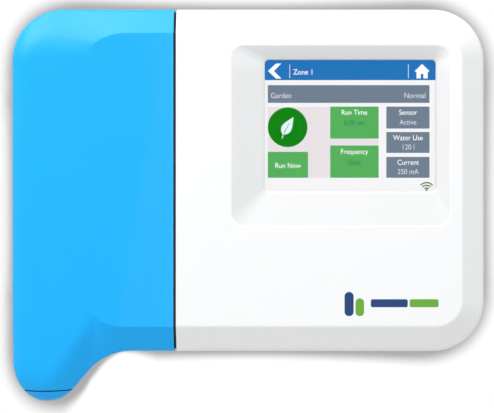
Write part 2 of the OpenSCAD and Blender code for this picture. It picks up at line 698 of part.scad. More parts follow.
// Triac in a moulded case with one flat side, for each valve output
module zone_triacs() color(black) for (i = [-3:3]) translate([-21.5, -board_d - 2, 6.5 * i]) {
  rotate([90, 0, 0]) intersection() {
    cylinder(r = 2.3, h = 4.8);
    translate([-1.6, -3, 0]) cube([6, 6, 6]);
  }
  for (z = [-1.27, 0, 1.27]) translate([0, 0, z - 0.25]) cube([0.5, 2, 0.5]);
}

// Chip with rows of legs: centre, size, height, legs on each side
module chip(at, w, h, t, legs, sides) {
  block([at[0] - w / 2, board_d + 0.2, at[1] - h / 2], [at[0] + w / 2, board_d + t, at[1] + h / 2]);
  for (i = [0:legs - 1], s = [-1, 1]) {
    z = at[1] + (i - (legs - 1) / 2) * (h - 1) / legs;
    block([at[0] + s * (w / 2 + 0.4) - 0.5, board_d, z - 0.18], [at[0] + s * (w / 2 + 0.4) + 0.5, board_d + 0.5, z + 0.18]);
    if (sides == 4) {
      x = at[0] + (i - (legs - 1) / 2) * (w - 1) / legs;
      block([x - 0.18, board_d, at[1] + s * (h / 2 + 0.4) - 0.5], [x + 0.18, board_d + 0.5, at[1] + s * (h / 2 + 0.4) + 0.5]);
    }
  }
}

module processor() color(black) chip([36, -39], 14, 14, 1.5, 12, 4);
module memory_chip() color(black) chip([19, -36], 4, 5, 1.7, 4, 2);

module clock_crystal() color(steel) {
  block([19, board_d, -48.3], [26, board_d + 3.5, -43.7]);
  for (x = [19, 26]) post([x, -46], 2.3, board_d, board_d + 3.5);
}

module wifi_board() color([0.05, 0.2, 0.4]) block([51, board_d, -50], [69, board_d + 0.8, -30]);
module wifi_shield() color(steel) block([52, board_d + 0.8, -49], [68, board_d + 3, -37]);

cell_at = [30, 15];
module cell_holder() color(black) difference() {
  union() {
    post(cell_at, 11.4, board_d, board_d + 3.6);
    block([cell_at[0] - 13, board_d, cell_at[1] - 4], [cell_at[0] + 13, board_d + 2.4, cell_at[1] + 4]);
  }
  post(cell_at, 10.1, board_d + 0.8, board_d + 4);
  block([cell_at[0] - 5, board_d + 0.8, cell_at[1] + 5], [cell_at[0] + 5, board_d + 4, cell_at[1] + 13]);
}
module coin_cell() color(steel) {
  post(cell_at, 10, board_d + 0.8, board_d + 3.4);
  post(cell_at, 8.6, board_d + 3.4 - eps, board_d + 4);
}

module buzzer() color(black) difference() {
  post([2, -42], 6, board_d, board_d + 8);
  post([2, -42], 1, board_d + 5, board_d + 9);
}

// Rows of small resistors and capacitors
module small_parts() color([0.35, 0.27, 0.2])
  for (row = [0:2], i = [0:11]) block([4 + 5.4 * i, board_d, -10 - 4 * row], [6 + 5.4 * i, board_d + 0.6, -8.8 - 4 * row]);

// ---------------------------------------------------------------- nodes

rear_housing();
front_housing();
wiring_door();
cable_exit_collar();
collar_screw();
hinge_pins();
cable_clamp();
clamp_screws();
housing_screws();
display_gasket();
touch_panel();
lcd_glass();
lcd_backlight();
lcd_frame();
display_bracket();
display_screws();
lcd_ribbon();
touch_ribbon();
lcd_connector();
touch_connector();
main_board();
board_screws();
power_header();
sensor_header();
zone_header();
power_header_pins();
sensor_header_pins();
zone_header_pins();
power_plug();
sensor_plug();
zone_plug();
power_plug_clamps();
sensor_plug_clamps();
zone_plug_clamps();
power_plug_screws();
sensor_plug_screws();
zone_plug_screws();
reset_switch();
reset_button();
fuse_tube();
fuse_caps();
fuse_clips();
varistor();
bridge_rectifier();
capacitors();
power_inductor();
zone_triacs();
processor();
memory_chip();
clock_crystal();
wifi_board();
wifi_shield();
cell_holder();
coin_cell();
buzzer();
small_parts();
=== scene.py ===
# %% [markdown]
# # A wall-mounted irrigation controller
# The controller is a flat white case with a touch screen, and a blue door that wraps round its left
# side and runs down into a leg for the cables. The solid parts were drawn in CAD beforehand and come
# in as a frame, in metres, with the wall at Y = 0 and the front facing -Y. This lesson gives them
# their looks: the large mouldings are modelled again with finer surfaces, the small parts get softened
# edges, and every surface gets a finish made from nodes.

# %% Load the frame
import json
import math

import bpy
import numpy as np
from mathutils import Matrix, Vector

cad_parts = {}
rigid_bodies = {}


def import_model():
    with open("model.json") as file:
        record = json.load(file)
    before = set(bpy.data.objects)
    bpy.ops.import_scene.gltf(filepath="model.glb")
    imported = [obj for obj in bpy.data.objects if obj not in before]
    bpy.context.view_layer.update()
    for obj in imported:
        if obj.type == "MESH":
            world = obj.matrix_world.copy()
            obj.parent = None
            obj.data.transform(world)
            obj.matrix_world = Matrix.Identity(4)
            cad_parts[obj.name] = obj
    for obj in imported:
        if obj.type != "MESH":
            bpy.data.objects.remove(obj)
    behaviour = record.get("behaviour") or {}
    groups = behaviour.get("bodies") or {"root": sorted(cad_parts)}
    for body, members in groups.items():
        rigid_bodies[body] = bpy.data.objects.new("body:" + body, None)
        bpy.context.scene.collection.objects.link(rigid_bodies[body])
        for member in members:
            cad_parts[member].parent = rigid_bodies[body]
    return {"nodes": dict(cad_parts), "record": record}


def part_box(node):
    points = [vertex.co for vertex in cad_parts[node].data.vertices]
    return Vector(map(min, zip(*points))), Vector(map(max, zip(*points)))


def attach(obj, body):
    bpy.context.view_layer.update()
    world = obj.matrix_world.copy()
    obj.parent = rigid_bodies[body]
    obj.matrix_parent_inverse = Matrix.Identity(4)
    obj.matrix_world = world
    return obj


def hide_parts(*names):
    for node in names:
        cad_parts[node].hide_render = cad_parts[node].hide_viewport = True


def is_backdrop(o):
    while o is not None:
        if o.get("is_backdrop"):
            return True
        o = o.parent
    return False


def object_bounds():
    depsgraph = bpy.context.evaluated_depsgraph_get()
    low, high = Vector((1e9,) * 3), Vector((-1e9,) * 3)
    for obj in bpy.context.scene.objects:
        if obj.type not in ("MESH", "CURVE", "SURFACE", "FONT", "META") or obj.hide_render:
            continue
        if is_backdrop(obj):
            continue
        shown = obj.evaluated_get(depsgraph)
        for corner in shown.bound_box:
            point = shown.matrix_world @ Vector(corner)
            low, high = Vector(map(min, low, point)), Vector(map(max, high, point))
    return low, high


for leftover in list(bpy.data.objects):
    bpy.data.objects.remove(leftover)
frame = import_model()
bpy.context.view_layer.update()
cad_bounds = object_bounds()
MM = 0.001
print("frame loaded with", len(frame["nodes"]), "parts")

# %% [markdown]
# ## The studio
# The controller is seen straight on from about half a metre, so a long lens is used. A seamless
# paper sweep, low enough to leave room for a look from below, gives a plain pale floor. One large
# soft light stands up and to the left, which brightens the sloping top border, and the even light
# of the room does the rest.

# %% Camera
def add_camera(place, lens):
    bpy.ops.object.camera_add(location=place, rotation=(math.pi / 2, 0, 0))
    camera = bpy.context.object
    camera.name = "studio_camera"
    camera.data.lens = lens
    camera.data.sensor_width = 36
    bpy.context.scene.camera = camera
    return camera


CAMERA_PLACE, LENS = (-0.0005, -0.533, -0.0099), 97.64

camera = add_camera(CAMERA_PLACE, LENS)
print("camera", round(camera.data.lens, 1), "mm lens at", tuple(round(v, 3) for v in camera.location))

# %% Lights
ROOM_LIGHT = 0.8
KEY_POWER = 9.8
KEY_SIZE = 0.75
KEY_FROM = Vector((-0.34, -0.5, 0.8)).normalized()
KEY_DISTANCE = 1.1

bpy.context.scene.view_settings.view_transform = "Standard"
room = bpy.data.worlds.new("studio_room")
bpy.context.scene.world = room
room.use_nodes = True
room.node_tree.nodes["Background"].inputs["Color"].default_value = (1, 1, 1, 1)
room.node_tree.nodes["Background"].inputs["Strength"].default_value = ROOM_LIGHT

key_place = KEY_FROM * KEY_DISTANCE
bpy.ops.object.light_add(type="AREA", location=key_place)
key_light = bpy.context.object
key_light.name = "key_softbox"
key_light.rotation_euler = KEY_FROM.to_track_quat("Z", "Y").to_euler()
key_light.data.size = KEY_SIZE
key_light.data.energy = KEY_POWER
print("one softbox of", KEY_SIZE, "m and room light", ROOM_LIGHT)


# %% Working by hand, in code
def select_only(obj):
    """Makes obj the only selected and active object."""
    if bpy.context.object and bpy.context.object.mode != "OBJECT":
        bpy.ops.object.mode_set(mode="OBJECT")
    bpy.ops.object.select_all(action="DESELECT")
    obj.select_set(True)
    bpy.context.view_layer.objects.active = obj


def settle(obj, name):
    """Names a new object and moves its place, turn and size into its mesh."""
    select_only(obj)
    bpy.ops.object.transform_apply(location=True, rotation=True, scale=True)
    obj.name = obj.data.name = name
    return obj


def pick(obj, kind, test):
    """Enters edit mode with only the vertices, edges or faces selected that pass the test."""
    select_only(obj)
    bpy.ops.object.mode_set(mode="EDIT")
    bpy.ops.mesh.select_mode(type=kind)
    bpy.ops.mesh.select_all(action="DESELECT")
    bpy.ops.object.mode_set(mode="OBJECT")
    points = obj.data.vertices
    items = {"VERT": obj.data.vertices, "EDGE": obj.data.edges, "FACE": obj.data.polygons}[kind]
    for item in items:
        if kind == "VERT":
            item.select = test(item.co / MM)
        elif kind == "EDGE":
            item.select = test(*(points[i].co / MM for i in item.vertices))
        else:
            item.select = test(item.center / MM, item.normal)
    bpy.ops.object.mode_set(mode="EDIT")


def object_mode():
    bpy.ops.object.mode_set(mode="OBJECT")


# %% The paper sweep
FLOOR_Z, SWEEP_Y, SWEEP_R = -900, 1700, 500  # floor level, back of the sweep and its bend, in mm
SWEEP_SIZE, SWEEP_H = 8, 5  # metres

select_only(key_light)
bpy.ops.mesh.primitive_plane_add(size=SWEEP_SIZE, location=(0, SWEEP_Y * MM - SWEEP_SIZE / 2, FLOOR_Z * MM))
sweep = settle(bpy.context.object, "paper_sweep")
pick(sweep, "EDGE", lambda a, b: min(a.y, b.y) > SWEEP_Y - 1)
bpy.ops.mesh.extrude_edges_move(TRANSFORM_OT_translate={"value": (0, 0, SWEEP_H)})
object_mode()
pick(sweep, "EDGE", lambda a, b: min(a.y, b.y) > SWEEP_Y - 1 and max(a.z, b.z) < FLOOR_Z + 1)
bpy.ops.mesh.bevel(offset=SWEEP_R * MM, segments=16, affect="EDGES")
object_mode()
bpy.ops.object.shade_smooth()
sweep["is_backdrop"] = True
print("paper sweep has", len(sweep.data.polygons), "faces")

# %% [markdown]
# A plane just behind the controller stands for the wall it hangs on. It shows from the front only and
# neither takes nor gives light, so that the lamps still reach the back of the case.

# %% The wall it hangs on
WALL_GAP, WALL_SIZE = 1.5, 8  # distance behind the case in millimetres, and size in metres

bpy.ops.object.select_all(action="DESELECT")
middle = (0, WALL_GAP * MM, FLOOR_Z * MM + WALL_SIZE / 2)
bpy.ops.mesh.primitive_plane_add(size=WALL_SIZE, location=middle, rotation=(math.pi / 2, 0, 0))
room_wall = settle(bpy.context.object, "room_wall")
room_wall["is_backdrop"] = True
print("the wall faces", tuple(round(v) for v in room_wall.data.polygons[0].normal))

# %% [markdown]
# ## Tools for solid shapes
# Three ways of shaping come back again and again. A loft starts as a ring of points and is extruded
# ring by ring, each one put where the surface should be, which suits the flowing mouldings. Plain
# blocks and pegs serve as cutters. A Boolean modifier joins or cuts two solids exactly, and it is
# applied at once so that the result is ordinary mesh.


# %% Loft through rings
def loft(name, rings):
    """Closed solid through rings of equal length, each a list of (x, y, z) in millimetres."""
    count = len(rings[0])
    bpy.ops.object.select_all(action="DESELECT")
    bpy.ops.mesh.primitive_circle_add(vertices=count, radius=1, fill_type="NOTHING")
    solid = bpy.context.object
    solid.name = solid.data.name = name
    coordinates = np.array(rings[0], float)
    for ring in rings[1:] + [None]:
        flat = np.zeros(len(solid.data.vertices) * 3, np.float32)
        flat[:] = (coordinates * MM).ravel()
        solid.data.vertices.foreach_set("co", flat)
        solid.data.update()
        if ring is None:
            break
        bpy.ops.object.mode_set(mode="EDIT")
        bpy.ops.mesh.extrude_edges_move()
        object_mode()
        coordinates = np.vstack([coordinates, np.array(ring, float)])
    total = len(solid.data.vertices)
    for first in (0, total - count):
        for vertex in solid.data.vertices:
            vertex.select = first <= vertex.index < first + count
        for edge in solid.data.edges:
            edge.select = all(first <= i < first + count for i in edge.vertices)
        bpy.ops.object.mode_set(mode="EDIT")
        bpy.ops.mesh.select_mode(type="VERT")
        bpy.ops.mesh.edge_face_add()
        bpy.ops.mesh.select_all(action="DESELECT")
        object_mode()
    bpy.ops.object.mode_set(mode="EDIT")
    bpy.ops.mesh.select_all(action="SELECT")
    bpy.ops.mesh.normals_make_consistent(inside=False)
    object_mode()
    return solid


# %% Blocks, pegs and cutters
def block(name, low, high):
    """Box between two corners, in millimetres. Corners are given as x, depth from the wall, z."""
    middle = [(a + b) / 2 for a, b in zip(low, high)]
    size = [abs(b - a) for a, b in zip(low, high)]
    bpy.ops.object.select_all(action="DESELECT")
    bpy.ops.mesh.primitive_cube_add(
        size=1,
        location=(middle[0] * MM, -middle[1] * MM, middle[2] * MM),
        scale=[s * MM for s in size],
    )
    return settle(bpy.context.object, name)


def peg(name, centre, radius, length, along="Y", top_radius=None, sides=48):
    """Round peg, or a cone, centred at a point in millimetres given as x, depth, z."""
    turn = {"Y": (math.pi / 2, 0, 0), "Z": (0, 0, 0), "X": (0, math.pi / 2, 0)}[along]
    bpy.ops.object.select_all(action="DESELECT")
    bpy.ops.mesh.primitive_cone_add(
        vertices=sides,
        radius1=radius * MM,
        radius2=(radius if top_radius is None else top_radius) * MM,
        depth=length * MM,
        location=(centre[0] * MM, -centre[1] * MM, centre[2] * MM),
        rotation=turn,
    )
    return settle(bpy.context.object, name)


def joined(pieces, name):
    """Several objects as one."""
    select_only(pieces[0])
    for piece in pieces:
        piece.select_set(True)
    if len(pieces) > 1:
        bpy.ops.object.join()
    pieces[0].name = pieces[0].data.name = name
    return pieces[0]


def combine(target, tool, operation):
    """Joins, cuts or intersects the target with a tool, which is used up."""
    select_only(target)
    step = target.modifiers.new(operation.lower(), "BOOLEAN")
    step.operation, step.solver, step.object = operation, "EXACT", tool
    bpy.ops.object.modifier_apply(modifier=step.name)
    bpy.data.objects.remove(tool)
    return target


def smoothed(obj, angle=32):
    """Smooth shading that stays crisp at folds, with large flat faces kept flat."""
    select_only(obj)
    bpy.ops.object.shade_smooth_by_angle(angle=math.radians(angle))
    weigh = obj.modifiers.new("weigh", "WEIGHTED_NORMAL")
    weigh.mode, weigh.weight, weigh.keep_sharp = "FACE_AREA", 60, True
    bpy.ops.object.modifier_apply(modifier=weigh.name)
    return obj


# %% Handing a finished piece over
def hand_over(obj, body, slot, replaced=(), finish=None):
    """The piece rides on its body, takes its finish, and stands for the CAD parts it replaces."""
    obj.data.materials.clear()
    obj.data.materials.append(finish or finishes[slot])
    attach(obj, body)
    if replaced:
        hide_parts(*replaced)
    print(f"{obj.name}: {len(obj.data.polygons)} faces, rides on {body}")
    return obj


# %% [markdown]
# ## Finishes
# Every finish is made from nodes and follows the object's own coordinates, so it stays put as pieces
# move. Effects that several finishes share are node groups: the fine texture of a mould, the streaks of
# brushed metal, loose dust. A group gives out only colours, values and heights, and the shader itself
# stays in each material.


# %% Node tools
def linear(r, g, b):
    """A colour on the usual 0 to 255 scale as linear light, with alpha."""
    def one(v):
        v /= 255
        return v / 12.92 if v <= 0.04045 else ((v + 0.055) / 1.055) ** 2.4
    return (one(r), one(g), one(b), 1)


class Graph:
    """Short ways to add nodes and wires to one node tree."""

    def __init__(self, tree):
        self.tree = tree

    def add(self, kind, wires=None, **settings):
        node = self.tree.nodes.new(kind)
        for key, value in settings.items():
            setattr(node, key, value)
        for key, value in (wires or {}).items():
            socket = node.inputs[key]
            if isinstance(value, bpy.types.NodeSocket):
                self.tree.links.new(value, socket)
            else:
                socket.default_value = value
        return node

    def math(self, operation, a, b=0.0, clamp=False):
        node = self.add("ShaderNodeMath", {0: a, 1: b}, operation=operation, use_clamp=clamp)
        return node.outputs[0]

    def mix(self, factor, a, b):
        node = self.add("ShaderNodeMix", data_type="RGBA")
        for index, value in ((0, factor), (6, a), (7, b)):
            if isinstance(value, bpy.types.NodeSocket):
                self.tree.links.new(value, node.inputs[index])
            else:
                node.inputs[index].default_value = value
        return node.outputs[2]

    def noise(self, vector, scale, detail=2.0):
        node = self.add("ShaderNodeTexNoise", {"Vector": vector, "Scale": scale, "Detail": detail})
        return node.outputs["Fac"]

    def coordinates(self, stretch=(1, 1, 1)):
        place = self.add("ShaderNodeTexCoord").outputs["Object"]
        if stretch == (1, 1, 1):
            return place
        return self.add("ShaderNodeMapping", {"Vector": place, "Scale": stretch}).outputs["Vector"]


def new_group(name, inputs, outputs):
    """Empty node group with named sockets, and its graph, input node and output node."""
    group = bpy.data.node_groups.new(name, "ShaderNodeTree")
    kinds = {"c": "NodeSocketColor", "f": "NodeSocketFloat"}
    for label, kind, value in inputs:
        socket = group.interface.new_socket(label, in_out="INPUT", socket_type=kinds[kind])
        socket.default_value = value
    for label, kind in outputs:
        group.interface.new_socket(label, in_out="OUTPUT", socket_type=kinds[kind])
    graph = Graph(group)
    return group, graph, graph.add("NodeGroupInput"), graph.add("NodeGroupOutput")


def wire(graph, source, node, name):
    graph.tree.links.new(source, node.inputs[name])


# %% Group: texture of a mould
def make_mould_texture():
    """Fine sparked texture, faint uneven colour, and gloss that varies in smudges."""
    group, g, given, out = new_group(
        "mould_texture",
        [
            ("Colour", "c", (1, 1, 1, 1)),
            ("Grain size", "f", 0.35),
            ("Unevenness", "f", 0.03),
            ("Roughness", "f", 0.4),
        ],
        [("Colour", "c"), ("Roughness", "f"), ("Height", "f")],
    )
    place = g.coordinates()
    per_metre = g.math("DIVIDE", 1000.0, given.outputs["Grain size"])
    fine = g.noise(place, per_metre, 1.0)
    cloudy = g.noise(place, 28.0, 3.0)
    smudges = g.noise(g.coordinates((1.0, 1.0, 0.4)), 60.0, 4.0)
    shade = g.math("MULTIPLY", g.math("SUBTRACT", cloudy, 0.5), given.outputs["Unevenness"])
    fleck_depth = g.math("MULTIPLY", given.outputs["Unevenness"], 0.6)
    fleck = g.math("MULTIPLY", g.math("SUBTRACT", fine, 0.5), fleck_depth)
    value = g.math("ADD", 1.0, g.math("ADD", shade, fleck))
    tone = g.add("ShaderNodeHueSaturation", {"Value": value, "Color": given.outputs["Colour"]})
    smudge = g.math("MULTIPLY", g.math("SUBTRACT", smudges, 0.5), 0.14)
    gloss = g.math("ADD", given.outputs["Roughness"], smudge, True)
    wire(g, tone.outputs[0], out, "Colour")
    wire(g, gloss, out, "Roughness")
    wire(g, fine, out, "Height")
    return group


mould_texture = make_mould_texture()
print("node group", mould_texture.name)


# %% Group: worn and dusty edges
def make_handling():
    """Paler rubbed edges, and dust on what faces up."""
    group, g, given, out = new_group(
        "handling",
        [("Colour", "c", (1, 1, 1, 1)), ("Rubbed", "f", 0.3), ("Dust", "f", 0.05)],
        [("Colour", "c"), ("Matt", "f")],
    )
    shape = g.add("ShaderNodeNewGeometry")
    sharp = g.math("MULTIPLY", g.math("SUBTRACT", shape.outputs["Pointiness"], 0.53), 14.0, True)
    broken = g.noise(g.coordinates(), 900.0, 3.0)
    rubbed = g.math("MULTIPLY", g.math("MULTIPLY", sharp, broken), given.outputs["Rubbed"], True)
    pale = g.mix(rubbed, given.outputs["Colour"], (0.9, 0.92, 0.94, 1))
    up = g.add("ShaderNodeSeparateXYZ", {"Vector": shape.outputs["Normal"]}).outputs["Z"]
    settled = g.math("MULTIPLY", g.math("MULTIPLY", up, 1.0, True), g.noise(g.coordinates(), 220.0, 5.0))
    dust = g.math("MULTIPLY", settled, given.outputs["Dust"], True)
    wire(g, g.mix(dust, pale, (0.62, 0.6, 0.56, 1)), out, "Colour")
    wire(g, g.math("ADD", dust, g.math("MULTIPLY", rubbed, 0.5)), out, "Matt")
    return group


handling = make_handling()
print("node group", handling.name)


# %% Group: brushed metal
def make_metal_streaks():
    """Long fine streaks with a few darker spots of tarnish."""
    group, g, given, out = new_group(
        "metal_streaks",
        [("Colour", "c", (0.7, 0.7, 0.7, 1)), ("Tarnish", "f", 0.2), ("Roughness", "f", 0.3)],
        [("Colour", "c"), ("Roughness", "f"), ("Height", "f")],
    )
    streaks = g.noise(g.coordinates((1.0, 12.0, 12.0)), 700.0, 3.0)
    spots = g.math("MULTIPLY", g.math("SUBTRACT", g.noise(g.coordinates(), 420.0, 5.0), 0.5), 3.0, True)
    stain = g.math("MULTIPLY", spots, given.outputs["Tarnish"], True)
    dark = g.mix(stain, given.outputs["Colour"], (0.18, 0.15, 0.12, 1))
    value = g.math("ADD", 0.92, g.math("MULTIPLY", streaks, 0.16))
    tone = g.add("ShaderNodeHueSaturation", {"Value": value, "Color": dark})
    dull = g.math("ADD", g.math("MULTIPLY", streaks, 0.12), g.math("MULTIPLY", stain, 0.4))
    gloss = g.math("ADD", given.outputs["Roughness"], dull, True)
    wire(g, tone.outputs[0], out, "Colour")
    wire(g, gloss, out, "Roughness")
    wire(g, streaks, out, "Height")
    return group


metal_streaks = make_metal_streaks()
print("node group", metal_streaks.name)

# %% Plastic and metal finishes
finishes = {}


def blank_material(name):
    material = bpy.data.materials.new(name + "_finish")
    material.use_nodes = True
    graph = Graph(material.node_tree)
    shader = material.node_tree.nodes["Principled BSDF"]
    return material, graph, shader


def group_in(graph, group, values):
    return graph.add("ShaderNodeGroup", values, node_tree=group)


def bump(graph, shader, height, distance):
    """Feeds the shader's normal from a height. Distance is in millimetres."""
    node = graph.add("ShaderNodeBump", {"Height": height, "Distance": distance * MM, "Strength": 1.0})
    graph.tree.links.new(node.outputs["Normal"], shader.inputs["Normal"])


def plastic(
    name,
    colour,
    roughness=0.42,
    grain=0.35,
    depth=0.012,
    uneven=0.03,
    rubbed=0.25,
    dust=0.05,
    ior=1.46,
    coat=0.0,
    paint=None,
):
    """Moulded plastic: a mould's texture, rubbed edges and a little dust. paint may recolour it."""
    material, g, shader = blank_material(name)
    values = {"Colour": colour, "Grain size": grain, "Unevenness": uneven, "Roughness": roughness}
    texture = group_in(g, mould_texture, values)
    tone = texture.outputs["Colour"]
    if paint:
        tone = paint(g, tone)
    used = group_in(g, handling, {"Colour": tone, "Rubbed": rubbed, "Dust": dust})
    g.tree.links.new(used.outputs["Colour"], shader.inputs["Base Color"])
    matt = g.math("ADD", texture.outputs["Roughness"], used.outputs["Matt"], True)
    g.tree.links.new(matt, shader.inputs["Roughness"])
    shader.inputs["IOR"].default_value = ior
    shader.inputs["Coat Weight"].default_value = coat
    bump(g, shader, texture.outputs["Height"], depth)
    finishes[name] = material
    return material


def metal(name, colour, roughness, tarnish, depth=0.004):
    """Turned, stamped or plated metal. depth is the height of its streaks in millimetres."""
    material, g, shader = blank_material(name)
    streaks = group_in(g, metal_streaks, {"Colour": colour, "Tarnish": tarnish, "Roughness": roughness})
    g.tree.links.new(streaks.outputs["Colour"], shader.inputs["Base Color"])
    g.tree.links.new(streaks.outputs["Roughness"], shader.inputs["Roughness"])
    shader.inputs["Metallic"].default_value = 1.0
    bump(g, shader, streaks.outputs["Height"], depth)
    finishes[name] = material
    return material


WHITE, DOOR_BLUE = linear(243, 244, 245), (0.004, 0.43, 0.98, 1)
WHITE_SETTINGS = {"roughness": 0.45, "grain": 0.5, "uneven": 0.012, "rubbed": 0.0, "dust": 0.03}
plastic("white_case", WHITE, **WHITE_SETTINGS)
plastic("blue_door", DOOR_BLUE, roughness=0.4, grain=0.5, rubbed=0.12, dust=0.04, ior=1.36)
terminal_tone = linear(62, 152, 66)
plastic("terminal_green", terminal_tone, roughness=0.38, grain=0.25, uneven=0.06, rubbed=0.35, dust=0.06)
plastic("black_plastic", linear(32, 33, 35), roughness=0.45, grain=0.3, uneven=0.1, rubbed=0.2, dust=0.06)
plastic("cream_plastic", linear(226, 214, 184), roughness=0.4, grain=0.2, uneven=0.06)
plastic("button_red", linear(196, 36, 32), roughness=0.32, grain=0.2, uneven=0.05, rubbed=0.4)
plastic("varistor_blue", linear(34, 76, 150), roughness=0.24, grain=0.8, depth=0.03, uneven=0.1, coat=0.4)
plastic("foam", linear(48, 48, 50), roughness=0.9, grain=0.25, depth=0.08, uneven=0.3, rubbed=0.0)
plastic("ferrite", linear(70, 70, 74), roughness=0.6, grain=0.3, depth=0.03, uneven=0.2)
metal("zinc_screw", linear(206, 208, 212), 0.26, 0.12)
metal("hinge_steel", linear(176, 178, 182), 0.24, 0.2)
metal("display_steel", linear(190, 192, 196), 0.36, 0.1)
metal("shield_steel", linear(200, 202, 204), 0.3, 0.12)
metal("cell_steel", linear(208, 208, 206), 0.2, 0.1)
metal("nickel", linear(214, 212, 206), 0.2, 0.15)
metal("tinned_pin", linear(212, 212, 210), 0.24, 0.2)
metal("clamp_brass", linear(208, 176, 96), 0.26, 0.25)
print(len(finishes), "finishes so far")

# %% [markdown]
# ### Printed, patterned and clear finishes
# A few finishes need more than a texture. The circuit board shows copper tracks under its green
# lacquer. The epoxy parts carry fine flecks, the chip parts fine pale stripes, the capacitors a pale
# stripe on their sleeves, and the radio board a finer pattern. The badge on the front is a plain mark
# of bars, painted flush with the plastic: bars are masks made from distances, so they need no picture.
# The slopes round the display get painted shade in the same finish, a slightly darker colour for the
# shade in the recess, so that their edges show on the white face.


# %% Group: one painted bar
FACE_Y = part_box("front_housing")[0].y
FACE_DEPTH, BAR_EDGE = 0.0008, 8.0  # how deep the face reaches in metres, and how sharp a bar's edge is


def make_painted_bar():
    """Mask of a bar with round ends on the front face, sizes in millimetres."""
    group, g, given, out = new_group(
        "painted_bar",
        [
            ("Middle X", "f", 0.0),
            ("Middle Z", "f", 0.0),
            ("Half width", "f", 5.0),
            ("Half height", "f", 1.0),
            ("Corner", "f", 0.5),
        ],
        [("Mask", "f")],
    )
    place = g.add("ShaderNodeSeparateXYZ", {"Vector": g.coordinates()})
    past = []
    for axis, middle, half in (("X", "Middle X", "Half width"), ("Z", "Middle Z", "Half height")):
        along = g.math("SUBTRACT", g.math("MULTIPLY", place.outputs[axis], 1000.0), given.outputs[middle])
        inner = g.math("SUBTRACT", given.outputs[half], given.outputs["Corner"])
        past.append(g.math("MAXIMUM", g.math("SUBTRACT", g.math("ABSOLUTE", along), inner), 0.0))
    squares = g.math("ADD", g.math("MULTIPLY", past[0], past[0]), g.math("MULTIPLY", past[1], past[1]))
    distance = g.math("SUBTRACT", g.math("SQRT", squares), given.outputs["Corner"])
    on_face = g.math("LESS_THAN", place.outputs["Y"], FACE_Y + FACE_DEPTH)
    inside = g.math("SUBTRACT", 0.5, g.math("MULTIPLY", distance, BAR_EDGE), True)
    wire(g, g.math("MULTIPLY", inside, on_face), out, "Mask")
    return group


painted_bar = make_painted_bar()

# %% Painted shade on the slopes round the display
# Painted shade: a darker colour on the slopes round the display stands in for the shade in the recess.
SURROUND = (("X", 0.0344, 0.042), ("Z", 0.0164, 0.035))  # axis, middle and half size, in metres
SURROUND_STARTS = 0.00015  # metres behind the face
SURROUND_TOP, SURROUND_FADE, SURROUND_SHADE = 0.05, 100.0, 0.13


def shade_surround(g, tone):
    """Painted shade: the slopes beside and below the display are darkened for the shade in the recess."""
    place = g.add("ShaderNodeSeparateXYZ", {"Vector": g.coordinates()})
    mask = g.math("GREATER_THAN", place.outputs["Y"], FACE_Y + SURROUND_STARTS)
    for axis, middle, reach in SURROUND:
        off = g.math("ABSOLUTE", g.math("SUBTRACT", place.outputs[axis], middle))
        mask = g.math("MULTIPLY", mask, g.math("LESS_THAN", off, reach))
    below_top = g.math("SUBTRACT", SURROUND_TOP, place.outputs["Z"])
    below_top = g.math("MULTIPLY", below_top, SURROUND_FADE, True)
    share = g.math("MULTIPLY", g.math("MULTIPLY", mask, below_top), SURROUND_SHADE)
    return g.mix(share, tone, (0, 0, 0, 1))


print("the surround is", SURROUND_SHADE, "deeper than the face")

# %% The badge and the painted shade in the white finish
BADGE_BLUE, BADGE_GREEN = linear(14, 62, 118), linear(104, 168, 52)
BADGE_BARS = [  # middle x, middle z, half width, half height, corner, ink
    (37.6, -46.3, 1.7, 4.5, 1.6, BADGE_BLUE),
    (41.6, -47.5, 1.6, 3.3, 1.5, BADGE_GREEN),
    (52.6, -46.0, 6.9, 1.5, 0.7, BADGE_BLUE),
    (65.6, -46.0, 5.4, 1.5, 0.7, BADGE_GREEN),
]


def paint_shade_and_badge(g, tone):
    """The painted shade round the display, with the bars over it."""
    tone = shade_surround(g, tone)
    labels = ("Middle X", "Middle Z", "Half width", "Half height", "Corner")
    for *sizes, bar_ink in BADGE_BARS:
        bar = group_in(g, painted_bar, dict(zip(labels, sizes)))
        tone = g.mix(bar.outputs["Mask"], tone, bar_ink)
    return tone


# The white finish carries the printed badge and the painted shade round the display.
plastic("white_case_badge", WHITE, paint=paint_shade_and_badge, **WHITE_SETTINGS)
print("badge of", len(BADGE_BARS), "painted bars")


